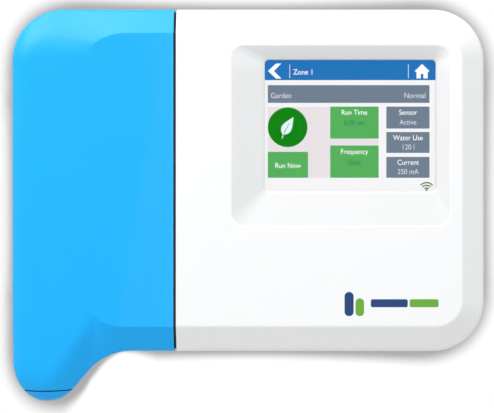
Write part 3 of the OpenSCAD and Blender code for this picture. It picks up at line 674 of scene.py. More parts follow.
# %% Circuit boards
def circuit(name, lacquer, track, track_pitch):
    """Lacquered board: two sets of copper tracks, plated dots, and a faint weave."""
    material, g, shader = blank_material(name)
    upright = {"Vector": g.coordinates(), "Rotation": (math.pi / 2, 0, 0)}
    place = g.add("ShaderNodeMapping", upright).outputs["Vector"]
    bricks = {
        "Scale": 1000 / track_pitch,
        "Mortar Size": 0.07,
        "Mortar Smooth": 0.2,
        "Brick Width": 7.0,
        "Row Height": 0.9,
    }
    masks = []
    for turn, offset in ((0, 0.37), (math.pi / 2, 0.61)):
        turned = g.add("ShaderNodeMapping", {"Vector": place, "Rotation": (0, 0, turn)}).outputs["Vector"]
        runs = g.add("ShaderNodeTexBrick", {"Vector": turned, **bricks}, offset=offset)
        patch = g.noise(turned, 90.0, 1.0)
        there = g.math("GREATER_THAN", patch, 0.48)
        masks.append(g.math("MULTIPLY", runs.outputs["Fac"], there))
    tracks = g.math("MAXIMUM", masks[0], masks[1])
    dots = g.add("ShaderNodeTexVoronoi", {"Vector": place, "Scale": 240.0, "Randomness": 0.85})
    via = g.math("LESS_THAN", dots.outputs["Distance"], 0.12)
    cloudy = g.noise(place, 60.0, 4.0)
    base = g.mix(g.math("MULTIPLY", cloudy, 0.35), lacquer, [c * 0.6 for c in lacquer[:3]] + [1])
    copper = g.mix(tracks, base, track)
    colour = g.mix(via, copper, linear(206, 198, 170))
    g.tree.links.new(colour, shader.inputs["Base Color"])
    g.tree.links.new(g.math("ADD", 0.28, g.math("MULTIPLY", cloudy, 0.15)), shader.inputs["Roughness"])
    bump(g, shader, g.math("ADD", tracks, via), 0.03)
    finishes[name] = material


circuit("circuit_board", linear(16, 92, 52), linear(38, 128, 76), 1.6)
circuit("radio_board", linear(20, 44, 84), linear(46, 82, 128), 0.9)


# %% Chips, capacitors, ribbons and clear parts
def marked_plastic(name, base, mark, pattern, roughness):
    """Plastic with a pattern mixed in, which pattern(g, place) gives as a mask."""

    def marked(g, tone):
        return g.mix(pattern(g, g.coordinates()), tone, mark)

    plastic(name, base, roughness=roughness, grain=0.2, uneven=0.08, paint=marked)


def speckle(scale, limit):
    """Small flecks where a noise passes a limit."""
    def pattern(g, place):
        return g.math("GREATER_THAN", g.noise(place, scale, 3.0), limit)
    return pattern


def stripes(pitch, axis, share):
    """Even stripes across an axis, pitch in millimetres."""
    def pattern(g, place):
        along = g.add("ShaderNodeSeparateXYZ", {"Vector": place}).outputs[axis]
        turns = g.math("FRACT", g.math("MULTIPLY", along, 1000 / pitch))
        return g.math("LESS_THAN", turns, share)
    return pattern


marked_plastic("epoxy_black", linear(34, 34, 36), linear(62, 62, 64), speckle(2600.0, 0.66), 0.5)
marked_plastic("capacitor_sleeve", linear(30, 34, 58), linear(170, 176, 190), stripes(10.0, "X", 0.16), 0.3)
marked_plastic("amber_ribbon", linear(196, 120, 36), linear(150, 84, 26), stripes(1.0, "X", 0.45), 0.25)
marked_plastic("backlight_sheet", linear(240, 242, 244), linear(222, 226, 230), stripes(0.5, "Z", 0.5), 0.3)
marked_plastic("chip_parts", linear(52, 48, 46), linear(196, 196, 192), stripes(2.0, "X", 0.3), 0.35)
marked_plastic("lcd", linear(18, 20, 24), linear(34, 36, 42), stripes(0.3, "X", 0.5), 0.15)


def clear(name, tint, ior, roughness, smear):
    """Glass with faint smears that show only in its gloss."""
    material, g, shader = blank_material(name)
    smears = g.noise(g.coordinates((1, 1, 0.5)), 45.0, 5.0)
    shader.inputs["Transmission Weight"].default_value = 1.0
    shader.inputs["IOR"].default_value = ior
    wash = g.mix(g.math("MULTIPLY", smears, smear), tint, [c * 0.97 for c in tint[:3]] + [1])
    g.tree.links.new(wash, shader.inputs["Base Color"])
    g.tree.links.new(g.math("MULTIPLY", smears, roughness), shader.inputs["Roughness"])
    finishes[name] = material


clear("touch_glass", (1, 1, 1, 1), 1.18, 0.0, 0.3)
clear("fuse_glass", (0.96, 0.98, 0.98, 1), 1.45, 0.08, 0.5)
missing = [m["slot"] for m in frame["record"]["materials"] if m["slot"] not in finishes]
print(len(finishes), "finishes, slots still without one:", missing)

# %% [markdown]
# ## The outline of the case
# Seen from the front, the case is a rounded rectangle, and the door carries on down into a leg. The
# leg's foot is round, and a hollow curve leads from the leg into the lower edge of the case. The
# outline is a row of points, and each point knows which way is outwards. The front is flat in the
# middle, and where the flat ends a border slopes down to the outline. So each outline point also
# knows the point on the flat's own outline that it belongs to, and the surface between the two can be
# built as rings. That puts the fold exactly on a row of edges, which keeps it crisp.

# %% Sizes taken from the frame
case_low, case_high = (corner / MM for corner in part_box("rear_housing"))
door_low, door_high = (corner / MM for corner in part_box("wiring_door"))
LEFT, RIGHT, TOP, BOTTOM = case_low.x, case_high.x, case_high.z, -case_high.z
FRONT = -(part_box("front_housing")[0] / MM).y
SEAM_X = door_high.x + 0.25
DOOR_X = door_high.x - 0.45
FRONT_X = SEAM_X + 0.25
CORNER_R = 19.3
BORDER_W, SIDE_BORDER_W = 9.8, 9.1  # along the top and bottom, and down the right side
SLOPE = math.tan(math.radians(30))
BORDER_DROP = 9.3 * SLOPE  # the border of the CAD model is 9.3 mm wide
EDGE_R = 1.3
WALL = 2
print("case", round(RIGHT - LEFT, 1), "x", round(TOP - BOTTOM, 1), "x", round(FRONT, 1), "mm")

# %% Outline points of the door
LEG_R = 12.7
FOOT_Z = case_low.z + LEG_R
LEG_X = LEFT + LEG_R
HEEL_H = 15.5
BLEND_R = 22
BLEND_X, BLEND_Z = LEFT + 45, BOTTOM - BLEND_R
TOP_ROLL, SIDE_ROLL, LEG_ROLL = 16.5, 7, 12.5
FLAT_X, FLAT_Z = -46, 45.9  # where the flat's round corners begin
FLAT_LEFT, FLAT_TOP = -59.1, TOP - BORDER_W
LEG_DROP = 8.6  # how far the leg rolls over at its edges
span = math.hypot(BLEND_X - LEG_X, BLEND_Z - FOOT_Z)
FLANK = math.degrees(math.atan2(BLEND_Z - FOOT_Z, BLEND_X - LEG_X) - math.acos((LEG_R + BLEND_R) / span))


def blended(a, b, share):
    return a + (b - a) * share


def arc(cx, cz, rx, rz, start, end, steps, side=1):
    """Points on an arc: x, z, outward x, outward z."""
    points = []
    for i in range(steps + 1):
        a = math.radians(blended(start, end, i / steps))
        nx, nz = math.cos(a) / rx, math.sin(a) / rz
        size = math.hypot(nx, nz)
        points.append((cx + rx * math.cos(a), cz + rz * math.sin(a), side * nx / size, side * nz / size))
    return points


def straight(a, b, nx, nz, step=1.6):
    """Points from a towards b, without the last."""
    count = max(1, math.ceil(math.hypot(b[0] - a[0], b[1] - a[1]) / step))
    return [(blended(a[0], b[0], i / count), blended(a[1], b[1], i / count), nx, nz) for i in range(count)]


# %% Each outline point's partner on the flat
def spread(points, turn0, turn1, roll0, roll1, upper, drop0=BORDER_DROP, drop1=BORDER_DROP):
    """Pairs a stretch of outline with a stretch of the flat's round corner, given as turns in
    degrees: 0 is the corner's left end and 90 its end on the border. Gives rays."""
    lengths = [0.0]
    for a, b in zip(points, points[1:]):
        lengths.append(lengths[-1] + math.hypot(b[0] - a[0], b[1] - a[1]))
    rays = []
    for p, run in zip(points, lengths):
        share = run / (lengths[-1] or 1)
        turn = blended(turn0, turn1, share)
        a = math.radians(turn)
        x = FLAT_X + (FLAT_LEFT - FLAT_X) * math.cos(a)
        z = (FLAT_Z + (FLAT_TOP - FLAT_Z) * math.sin(a)) * (1 if upper else -1)
        rays.append((p, (x, z), eased(turn / 42), blended(roll0, roll1, share), blended(drop0, drop1, share)))
    return rays


def eased(t):
    t = max(0.0, min(1.0, t))
    return t * t * (3 - 2 * t)


def door_rays(seam):
    """Rays round the door: outline point, partner on the flat, border share, roll."""
    side_low = -49.0
    side = straight((LEFT, TOP - CORNER_R), (LEFT, side_low), -1, 0, 4)
    left_side = [
        (p, (FLAT_LEFT, FLAT_Z * (1 - 2 * i / len(side))), 0.0, SIDE_ROLL, BORDER_DROP)
        for i, p in enumerate(side)
    ]
    heel_top = FOOT_Z - LEG_R + HEEL_H
    heel = straight((LEFT, side_low), (LEFT, heel_top), -1, 0, 3)
    heel += arc(LEG_X, heel_top, LEG_R, HEEL_H, 180, 270, 20)
    foot = arc(LEG_X, FOOT_Z, LEG_R, LEG_R, 273, 360 + FLANK, 14)
    hollow = arc(BLEND_X, BLEND_Z, BLEND_R, BLEND_R, 180 + FLANK, 90, 30, -1)
    flank = straight(foot[-1][:2], hollow[0][:2], foot[-1][2], foot[-1][3])[1:]
    lower = straight((BLEND_X, BOTTOM), (seam, BOTTOM), 0, -1)[1:] + [(seam, BOTTOM, 0, -1)]
    upper = [(seam, TOP, 0, 1)] + straight((seam, TOP), (FLAT_X, TOP), 0, 1)[1:]
    top_left = straight((FLAT_X, TOP), (LEFT + CORNER_R, TOP), 0, 1)
    corner = arc(LEFT + CORNER_R, TOP - CORNER_R, CORNER_R, CORNER_R, 90, 180, 40)[:-1]
    rays = left_side
    rays += spread(heel, 0, 11, SIDE_ROLL, LEG_ROLL, False, BORDER_DROP, LEG_DROP)
    rays += spread(foot, 11.8, 23, LEG_ROLL, LEG_ROLL, False, LEG_DROP, LEG_DROP)
    rays += spread(flank, 24, 30, LEG_ROLL, LEG_ROLL, False, LEG_DROP, LEG_DROP)
    rays += spread(hollow, 31, 90, LEG_ROLL, LEG_ROLL, False, LEG_DROP, BORDER_DROP)
    for p in lower:
        partner_x = blended(FLAT_X, seam, (p[0] - BLEND_X) / (seam - BLEND_X))
        rays.append((p, (partner_x, -FLAT_TOP), 1.0, LEG_ROLL, BORDER_DROP))
    rays += [(p, (p[0], FLAT_TOP), 1.0, TOP_ROLL, BORDER_DROP) for p in upper]
    rays += spread(top_left, 90, 38, TOP_ROLL, TOP_ROLL, True)
    rays += spread(corner, 37, 1.5, TOP_ROLL, SIDE_ROLL, True)
    return rays


print("door outline has", len(door_rays(DOOR_X)), "points")

# %% [markdown]
# ## The shape of the front surface
# Along a ray from the outline to the flat, the surface either climbs evenly, as the border does, or
# rolls over like the back of a spoon, as the column at the left and the leg do. The border share says
# how much of each, and it changes slowly from ray to ray, so the fold of the border fades away to the
# left. The outermost millimetre or so is a small round edge.


# %% Rings of the door
def quarter_round(distance, reach):
    return 1 - math.sqrt(max(0.0, 1 - (1 - max(0.0, min(1.0, distance / reach))) ** 2))


def ray_point(ray, inset, share, lines):
    """Place and drop at a share of the way from the inset outline point to its partner."""
    (px, pz, nx, nz), (cx, cz), border, roll, roll_drop = ray
    sx, sz = px - inset * nx, pz - inset * nz
    x, z = blended(sx, cx, share), blended(sz, cz, share)
    length = math.hypot(px - cx, pz - cz)
    climb = min(1.0, math.hypot(x - cx, z - cz) / length)
    away = distance_to(lines, x, z) if share > 0 else inset
    rolled = quarter_round(away, roll)
    drop = border * BORDER_DROP * climb + (1 - border) * roll_drop * rolled * (1 - share**6)
    return x, z, drop + EDGE_R * quarter_round(away, EDGE_R)


def distance_to(lines, x, z):
    """Distance from a point to a row of segments."""
    start, run, square = lines
    at = np.array([x, z]) - start
    t = np.clip((at * run).sum(1) / square, 0, 1)
    return float(np.sqrt((((at - run * t[:, None])) ** 2).sum(1).min()))


EDGE_INSETS = [0, 0.05, 0.16, 0.34, 0.6, 0.92, 1.3]


def door_rings(seam, back, skin=0.0, steps=24):
    """Rings for the loft: one at the back, then one for each step from the outline to the flat."""
    rays = door_rays(seam)
    outline = np.array([[ray[0][0], ray[0][1]] for ray in rays])
    gap = next(i for i, p in enumerate(outline) if p[0] == seam and p[1] > 0)
    loop = np.vstack([outline[gap:], outline[:gap]])
    run = np.diff(loop, axis=0)
    lines = (loop[:-1], run, np.maximum((run**2).sum(1), 1e-9))
    rings = [[(p[0] - skin * p[2], -back, p[1] - skin * p[3]) for p, *_ in rays]]
    insets = EDGE_INSETS if skin == 0 else [skin]
    spots = [(e, 0.0) for e in insets] + [(insets[-1], k / steps) for k in range(1, steps + 1)]
    for inset, share in spots:
        ring = []
        for ray in rays:
            x, z, drop = ray_point(ray, inset, share, lines)
            if share == 1:
                drop = 0
            ring.append((x, -(FRONT - drop) + 1.15 * skin, z))
        rings.append(ring)
    return rings


# %% Rings of the front
# shares of the border's width
FOLD_STEPS = [0.24, 0.4, 0.56, 0.72, 0.88, 0.935, 0.97, 0.99, 1.01, 1.03, 1.065]


def soft_fold(t, ease=0.055):
    """0 below zero and t above it, with a small round fold between."""
    return max(0.0, t) if abs(t) >= ease else (t + ease) ** 2 / (4 * ease)


def front_drop(inset, width):
    return BORDER_DROP * soft_fold(1 - inset / width) + EDGE_R * quarter_round(inset, EDGE_R)


def front_rings(seam, back, skin=0.0):
    """Rings for the loft of the front: one at the back, then one for each step in from the outline."""
    lower = arc(RIGHT - CORNER_R, BOTTOM + CORNER_R, CORNER_R, CORNER_R, -90, 0, 40)
    upper = arc(RIGHT - CORNER_R, TOP - CORNER_R, CORNER_R, CORNER_R, 0, 90, 40)
    line = [(seam, BOTTOM, 0, -1)] + lower + upper + [(seam, TOP, 0, 1)]
    widths = [blended(SIDE_BORDER_W, BORDER_W, nz * nz) for _, _, _, nz in line]
    rings = [[(x - skin * nx, -back, z - skin * nz) for x, z, nx, nz in line]]
    spots = [(e, 0) for e in EDGE_INSETS] + [(0, s) for s in FOLD_STEPS]
    if skin:
        spots = [(skin, 0), (0, 0.5), (0, 1), (0, 1.07)]
    for fixed, share in spots:
        ring = []
        for (x, z, nx, nz), width in zip(line, widths):
            inset = fixed + share * width
            drop = 0 if share > 1.05 else front_drop(inset, width)
            ring.append((x - inset * nx, -(FRONT - drop) + 1.15 * skin, z - inset * nz))
        rings.append(ring)
    return rings


print("the border drops", round(BORDER_DROP, 2), "mm")

# %% [markdown]
# ## The wiring door
# The door is one thin moulding: a face that rolls over at the left, a top and a bottom edge, and the
# leg. It could be a subdivided cage, but the rolled column has to meet the border exactly, so it is a
# loft: an outer solid with an inner one cut out of it. The free edge is then rounded a little, as a
# moulding is, and the two hinge knuckles are joined on with their bores and the notches beside them.

# %% Door shell
PLATE_D = 3
door = loft("door_shell", door_rings(DOOR_X, PLATE_D + 0.4))
inner = loft("door_inside", door_rings(SEAM_X + 3, PLATE_D - 1, WALL, steps=8))
combine(door, inner, "DIFFERENCE")
print("door shell has", len(door.data.polygons), "faces")

# %% Rounded free edge
FREE_EDGE_R = 0.2


def outer_rim(edge_x, low_y):
    """Test for the edges where the outer surface ends at the gap between door and front."""
    def test(a, b):
        if max(abs(a.x - edge_x), abs(b.x - edge_x)) > 0.01 or max(a.y, b.y) > low_y:
            return False
        return all(abs(-p.y - FRONT + front_drop(TOP - abs(p.z), BORDER_W)) < 0.12 for p in (a, b))
    return test


pick(door, "EDGE", outer_rim(DOOR_X, -4))
bpy.ops.mesh.bevel(offset=FREE_EDGE_R * MM, segments=2, affect="EDGES", clamp_overlap=True)
object_mode()
print("free edge rounded to", FREE_EDGE_R, "mm;", len(door.data.polygons), "faces")

# %% Knuckles, bores and notches
HINGE_X, HINGE_D, KNUCKLE_R, KNUCKLE_H, EAR_H, EAR_GAP, PIN_R = LEFT + 2, 5.4, 2, 6, 4, 0.3, 0.9
HINGES_Z = (32, -46)

rear_edge = block("rear_edge", (LEFT - 1, 0, case_low.z - 1), (HINGE_X + 1, HINGE_D - 0.5, TOP + 1))
combine(door, rear_edge, "DIFFERENCE")
for hinge_z in HINGES_Z:
    knuckle = peg("knuckle", (HINGE_X, HINGE_D, hinge_z), KNUCKLE_R, KNUCKLE_H, "Z")
    combine(door, knuckle, "UNION")
for hinge_z in HINGES_Z:
    bore = peg("bore", (HINGE_X, HINGE_D, hinge_z), PIN_R + 0.05, 20, "Z", sides=32)
    combine(door, bore, "DIFFERENCE")
    for side in (-1, 1):
        ear = hinge_z + side * (KNUCKLE_H / 2 + EAR_GAP + EAR_H / 2)
        low, high = ear - EAR_H / 2 - EAR_GAP, ear + EAR_H / 2 + EAR_GAP
        notch = block("notch", (LEFT - 1, 0, low), (HINGE_X + 2.3, HINGE_D + 2.4, high))
        combine(door, notch, "DIFFERENCE")
leg_end = block("leg_end", (LEFT - 1, 0, case_low.z - 1), (-40, FRONT + 1, door_low.z))
combine(door, leg_end, "DIFFERENCE")
smoothed(door)
hand_over(door, "door", "blue_door", ["wiring_door"])

# %% [markdown]
# ## The cable exit collar
# The leg ends in a separate collar that stays on the wall plate when the door opens, with the hole
# the cables leave through. It is the same loft again, kept only below the leg's end, so its sides
# follow on from the door. The mouth of the hole gets a small chamfer with a cone.

# %% Collar
COLLAR_END = (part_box("cable_exit_collar")[1] / MM).z
EXIT_X, EXIT_D, EXIT_R = -77.5, 13, 5.5
COLLAR_TOP = door_low.z - 0.5
MOUTH_EASE = 0.6

collar = loft("exit_collar", door_rings(DOOR_X, PLATE_D))
keep = block("keep", (LEFT - 1, PLATE_D, case_low.z - 1), (-60, FRONT + 1, COLLAR_TOP))
combine(collar, keep, "INTERSECT")
tongue = block("tongue", (EXIT_X - 4, PLATE_D, COLLAR_TOP - 0.75), (EXIT_X + 4, PLATE_D + 2, COLLAR_END))
combine(collar, tongue, "UNION")
combine(collar, peg("exit", (EXIT_X, EXIT_D, case_low.z + 3), EXIT_R, 12, "Z", sides=64), "DIFFERENCE")
mouth = peg("mouth", (EXIT_X, EXIT_D, case_low.z), EXIT_R + 2 * MOUTH_EASE, 2 * MOUTH_EASE, "Z", EXIT_R, 64)
combine(collar, mouth, "DIFFERENCE")
screw_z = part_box("collar_screw")[0].z / MM + 2.4
combine(collar, peg("screw_hole", (EXIT_X, PLATE_D + 1, screw_z), 1.3, 4), "DIFFERENCE")
smoothed(collar)
hand_over(collar, "case", "blue_door", ["cable_exit_collar"])

# %% [markdown]
# ## The front housing
# The white front is the same kind of loft, with a wall at the left that divides it from the wiring
# bay. The screen sits at the bottom of a shallow funnel: wide below and to the left, narrow above and
# to the right. The funnel is lofted from a rounded rectangle at the face to a smaller one at the
# window, with a few close rings at both ends, so that its rims come out rounded.

# %% Front shell
front = loft("front_shell", front_rings(FRONT_X, 9.2))
combine(front, loft("front_inside", front_rings(FRONT_X + WALL, 8, WALL)), "DIFFERENCE")
pick(front, "EDGE", outer_rim(FRONT_X, -9.3))
bpy.ops.mesh.bevel(offset=FREE_EDGE_R * MM, segments=2, affect="EDGES", clamp_overlap=True)
object_mode()
print("front shell has", len(front.data.polygons), "faces")

# %% Funnel round the screen
SCREEN_W, SCREEN_H, SCREEN_X, SCREEN_Z = 64.3, 49.5, 38.3, 20.5
WINDOW_D, GASKET_D = FRONT - 3, FRONT - 4.6
window = (SCREEN_X - SCREEN_W / 2, SCREEN_Z - SCREEN_H / 2, SCREEN_X + SCREEN_W / 2, SCREEN_Z + SCREEN_H / 2)
recess = (window[0] - 12.7, window[1] - 13.1, window[2] + 4.9, window[3] + 4.9)


def rounded_rectangle(box, radius, grow=0.0, steps=12):
    """Points round a rectangle given as left, bottom, right, top."""
    radius = max(radius + grow, 0.05)
    points = []
    for q, (cx, cz) in enumerate([(2, 3), (0, 3), (0, 1), (2, 1)]):
        sx, sz = (1 if cx == 2 else -1), (1 if cz == 3 else -1)
        mx, mz = box[cx] + sx * (grow - radius), box[cz] + sz * (grow - radius)
        for i in range(steps + 1):
            a = math.radians(90 * q + 90 * i / steps)
            points.append((mx + radius * math.cos(a), mz + radius * math.sin(a)))
    return points


def between(a, b, share):
    return [tuple(u + (v - u) * share for u, v in zip(p, q)) for p, q in zip(a, b)]


def ring_at(outline, depth):
    return [(x, -depth, z) for x, z in outline]


RECESS_R, WINDOW_R, RIM_SINK = 4.7, 1.6, 0.06
wide, narrow = rounded_rectangle(recess, RECESS_R), rounded_rectangle(window, WINDOW_R)
rings = [ring_at(rounded_rectangle(recess, RECESS_R, 0.9), FRONT + 0.4)]
rings.append(ring_at(rounded_rectangle(recess, RECESS_R, 0.45), FRONT + 0.02))
rings.append(ring_at(rounded_rectangle(recess, RECESS_R, 0.12), FRONT - 0.03))
for share in (0.04, 0.1, 0.5, 0.9, 0.97):
    depth = FRONT - RIM_SINK - (FRONT - RIM_SINK - WINDOW_D) * share
    rings.append(ring_at(between(wide, narrow, share), depth))
rings.append(ring_at(between(wide, narrow, 1.0), WINDOW_D - 0.2))
rings.append(ring_at(narrow, GASKET_D - 1.2))
funnel = loft("funnel", rings)
back = loft(
    "funnel_back",
    [
        ring_at(rounded_rectangle(recess, RECESS_R, 1), FRONT - 1.6),
        ring_at(rounded_rectangle(recess, RECESS_R, 1), FRONT - 1.8),
        ring_at(rounded_rectangle(window, WINDOW_R, 3), GASKET_D + 0.2),
        ring_at(rounded_rectangle(window, WINDOW_R, 3), GASKET_D),
    ],
)
combine(front, back, "UNION")
combine(front, funnel, "DIFFERENCE")
print("funnel cut;", len(front.data.polygons), "faces")

# %% Posts, lip and openings inside the front
post_places = [(RIGHT - 7.4, 40), (RIGHT - 7.4, -40), (-21.5, TOP - 6.5), (-21.5, BOTTOM + 6.5)]
boss_places = [(x, z) for x in (8, 68) for z in (window[1] - 7.8, window[3] + 6.2)]
bracket_d = -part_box("display_bracket")[0].y / MM
boss_end = 30.8
posts = [peg("post", (x, 19, z), 3.4, 25.6, sides=32) for x, z in post_places]
for x, z in boss_places:
    posts.append(peg("boss", (x, (bracket_d + boss_end) / 2, z), 2.8, boss_end - bracket_d, sides=32))
posts = joined(posts, "posts")
combine(posts, loft("keep_inside", front_rings(FRONT_X, 6.1, 0.5)), "INTERSECT")
combine(front, posts, "UNION")
pilots = [peg("pilot", (x, 11.1, z), 1.45, 12.2, sides=24) for x, z in post_places]
pilots += [peg("pilot", (x, bracket_d + 2.5, z), 1.1, 7, sides=24) for x, z in boss_places]
combine(front, joined(pilots, "pilots"), "DIFFERENCE")


def section(inset, back_d):
    """Cross-section of the case from its back to its front, as (depth, z)."""
    side = TOP - inset
    turn = FRONT - BORDER_DROP - inset * SLOPE
    crease = TOP - BORDER_W - inset * math.tan(math.radians(15))
    upper_half = [(back_d, side), (turn, side), (FRONT - inset, crease)]
    return upper_half + [(d, -z) for d, z in reversed(upper_half)]


def section_slab(name, inset, back_d, x0, x1):
    return loft(name, [[(x, -d, z) for d, z in section(inset, back_d)] for x in (x0, x1)])


lip = section_slab("lip", WALL + 0.65, 9.2, FRONT_X - 2.05, FRONT_X + WALL)
combine(lip, section_slab("lip_inside", WALL + 1.85, 8, FRONT_X - 3.25, FRONT_X + WALL + 1), "DIFFERENCE")
combine(front, lip, "UNION")
board_low, board_high = (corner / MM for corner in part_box("main_board"))
under = block(
    "under_divider",
    (FRONT_X - 3.25, 7, board_low.z - 0.6),
    (FRONT_X + WALL + 0.5, -board_low.y + 0.6, board_high.z + 0.6),
)
combine(front, under, "DIFFERENCE")
smoothed(front)
hand_over(front, "case", "white_case", ["front_housing"], finishes["white_case_badge"])

# %% [markdown]
# ## Painted shade in the seam
# A thin dark strip lies in the seam between the case and the wiring door, as painted shade: it stands in
# for the shade in the gap and takes the dark foam finish. It rests on the case's lip and stays clear of
# the door's path. Two slabs with the section of the case make it, the smaller one cut out of the
# larger, so the strip follows the lip all the way round.

# %% Painted shade in the seam
# Painted shade: a dark strip that stands in for the shade in the gap of the seam.
seam_shade = section_slab("seam_shade_strip", 1.0, 9.2, DOOR_X + 0.1, FRONT_X + 0.05)
combine(seam_shade, section_slab("inside_shade_strip", WALL + 0.75, 8, DOOR_X - 1, FRONT_X + 1), "DIFFERENCE")
hand_over(seam_shade, "case", "foam")
print("seal from", round(DOOR_X + 0.1, 2), "to", round(FRONT_X + 0.05, 2), "mm")

# %% [markdown]
# ## Parts whose edges need softening
# The back housing, the terminal blocks, the clamp and the other small mouldings already have the
# right shape, but their edges are razor sharp, and no moulding or turned screw has such edges. Each
# one is copied, its loose triangles are merged and its flat faces joined up again, and a small bevel
# runs along every sharp edge. The bevel catches the light as a real edge does.


# %% Softened copies
def softened(node, name, body, slot, ease, segments=2, fold=35, finish=None):
    """Copy of a CAD part with rounded edges; ease is the width of the rounding in millimetres."""
    original = frame["nodes"][node]
    piece = original.copy()
    piece.data = original.data.copy()
    bpy.context.scene.collection.objects.link(piece)
    piece.parent = None
    piece.name = piece.data.name = name
    select_only(piece)
    bpy.ops.mesh.customdata_custom_splitnormals_clear()
    bpy.ops.object.mode_set(mode="EDIT")
    bpy.ops.mesh.select_all(action="SELECT")
    bpy.ops.mesh.remove_doubles(threshold=0.002 * MM)
    bpy.ops.mesh.dissolve_limited(angle_limit=math.radians(0.8))
    bpy.ops.mesh.mark_sharp(clear=True)
    object_mode()
    if ease:
        rounding = piece.modifiers.new("rounding", "BEVEL")
        rounding.width, rounding.segments = ease * MM, segments
        rounding.limit_method, rounding.angle_limit = "ANGLE", math.radians(fold)
        rounding.use_clamp_overlap = True
        bpy.ops.object.modifier_apply(modifier=rounding.name)
    smoothed(piece, 38)
    return hand_over(piece, body, slot, [node], finish)


SOFT_PARTS = [  # CAD node, new name, body, finish, width of the rounding
    ("rear_housing", "back_housing", "case", "white_case", 0.18),
    ("cable_clamp", "clamp_bridge", "case", "white_case", 0.3),
    ("power_header", "power_block", "case", "terminal_green", 0.15),
    ("sensor_header", "sensor_block", "case", "terminal_green", 0.15),
    ("zone_header", "zone_block", "case", "terminal_green", 0.15),
    ("power_plug", "power_plug_body", "power_terminal", "terminal_green", 0.2),
    ("sensor_plug", "sensor_plug_body", "sensor_terminal", "terminal_green", 0.2),
    ("zone_plug", "zone_plug_body", "zone_terminal", "terminal_green", 0.2),
    ("reset_switch", "reset_switch_body", "case", "black_plastic", 0.2),
    ("reset_button", "reset_cap", "reset", "button_red", 0.35),
    ("capacitors", "capacitor_cans", "case", "capacitor_sleeve", 0.4),
    ("bridge_rectifier", "rectifier_block", "case", "epoxy_black", 0.4),
    ("varistor", "varistor_disc", "case", "varistor_blue", 0.9),
    ("zone_triacs", "triac_row", "case", "epoxy_black", 0.15),
    ("buzzer", "buzzer_can", "case", "black_plastic", 0.4),
    ("power_inductor", "inductor_core", "case", "ferrite", 0.8),
    ("cell_holder", "cell_cradle", "case", "black_plastic", 0.25),
    ("coin_cell", "backup_cell", "case", "cell_steel", 0.3),
    ("wifi_shield", "radio_lid", "case", "shield_steel", 0.4),
    ("lcd_connector", "display_socket", "case", "cream_plastic", 0.2),
    ("touch_connector", "touch_socket", "case", "cream_plastic", 0.2),
    ("fuse_caps", "fuse_ferrules", "case", "nickel", 0.3),
    ("fuse_clips", "fuse_holders", "case", "nickel", 0.12),
    ("housing_screws", "case_screws", "case", "zinc_screw", 0.2),
    ("clamp_screws", "bridge_screws", "case", "zinc_screw", 0.2),
    ("collar_screw", "exit_screw", "case", "zinc_screw", 0.2),
    ("board_screws", "board_fixings", "case", "zinc_screw", 0.15),
    ("hinge_pins", "hinge_rods", "case", "hinge_steel", 0.2),
    ("display_bracket", "display_cradle", "case", "black_plastic", 0.2),
    ("power_plug_screws", "power_wire_screws", "power_terminal", "zinc_screw", 0.12),
    ("sensor_plug_screws", "sensor_wire_screws", "sensor_terminal", "zinc_screw", 0.12),
    ("zone_plug_screws", "zone_wire_screws", "zone_terminal", "zinc_screw", 0.12),
]
for node, name, body, slot, ease in SOFT_PARTS:
    softened(node, name, body, slot, ease)

# %% [markdown]
# ## Parts that keep their CAD shape
# What is left is small or hidden: pins, ribbons, chips, the layers of the display. Their shapes are
# right as they are, so they only take their finishes.

# %% Finishes for the remaining parts
kept = []
for node, shape in sorted(frame["nodes"].items()):
    if not shape.hide_render:
        slot = shape.material_slots[0].material.name.split(".")[0]
        shape.material_slots[0].material = finishes[slot]
        kept.append(node)
print(len(kept), "parts keep their shape:", ", ".join(kept))

# %% [markdown]
# ## The picture on the screen
# The display shows a page for one watering zone: a blue bar with a back arrow and a house, a slate bar,
# green and slate tiles, a leaf in a round badge, and a small sign for the radio. Each is a thin piece
# between the liquid crystal panel and the touch glass, one layer above another. The pieces glow, and
# their glow has the fine grid of a real panel's dots. Words and drawings are plain everyday ones.


# %% Glowing colours
DOT_PITCH, DOT_GAP = 0.19, 0.16  # millimetres between dots, and the share of it that is a gap


def make_panel_dots():
    """Colour dimmed slightly between the dots of a display and towards its lower edge."""
    sockets = [("Colour", "c", (1, 1, 1, 1)), ("Dimming", "f", 0.06)]
    group, g, given, out = new_group("panel_dots", sockets, [("Colour", "c")])
    place = g.add("ShaderNodeSeparateXYZ", {"Vector": g.coordinates()})
    gaps = []
    for axis in ("X", "Z"):
        turn = g.math("FRACT", g.math("MULTIPLY", place.outputs[axis], 1000 / DOT_PITCH))
        gaps.append(g.math("LESS_THAN", turn, DOT_GAP))
    fall = g.math("MULTIPLY", g.math("SUBTRACT", 0.045, place.outputs["Z"]), 0.8, True)
    dark = g.math("ADD", g.math("MAXIMUM", gaps[0], gaps[1]), fall)
    shade = g.math("MULTIPLY", dark, given.outputs["Dimming"])
    wire(g, g.mix(shade, given.outputs["Colour"], (0, 0, 0, 1)), out, "Colour")
    return group


panel_dots = make_panel_dots()


def glowing(name, colour):
    """A colour of the lit screen."""
    material, g, shader = blank_material(name)
    dots = group_in(g, panel_dots, {"Colour": colour}).outputs["Colour"]
    g.tree.links.new(dots, shader.inputs["Emission Color"])
    shader.inputs["Emission Strength"].default_value = 1.0
    g.tree.links.new(g.mix(0.9, dots, (0, 0, 0, 1)), shader.inputs["Base Color"])
    shader.inputs["Specular IOR Level"].default_value = 0.0
    shader.inputs["Roughness"].default_value = 0.6
    return material


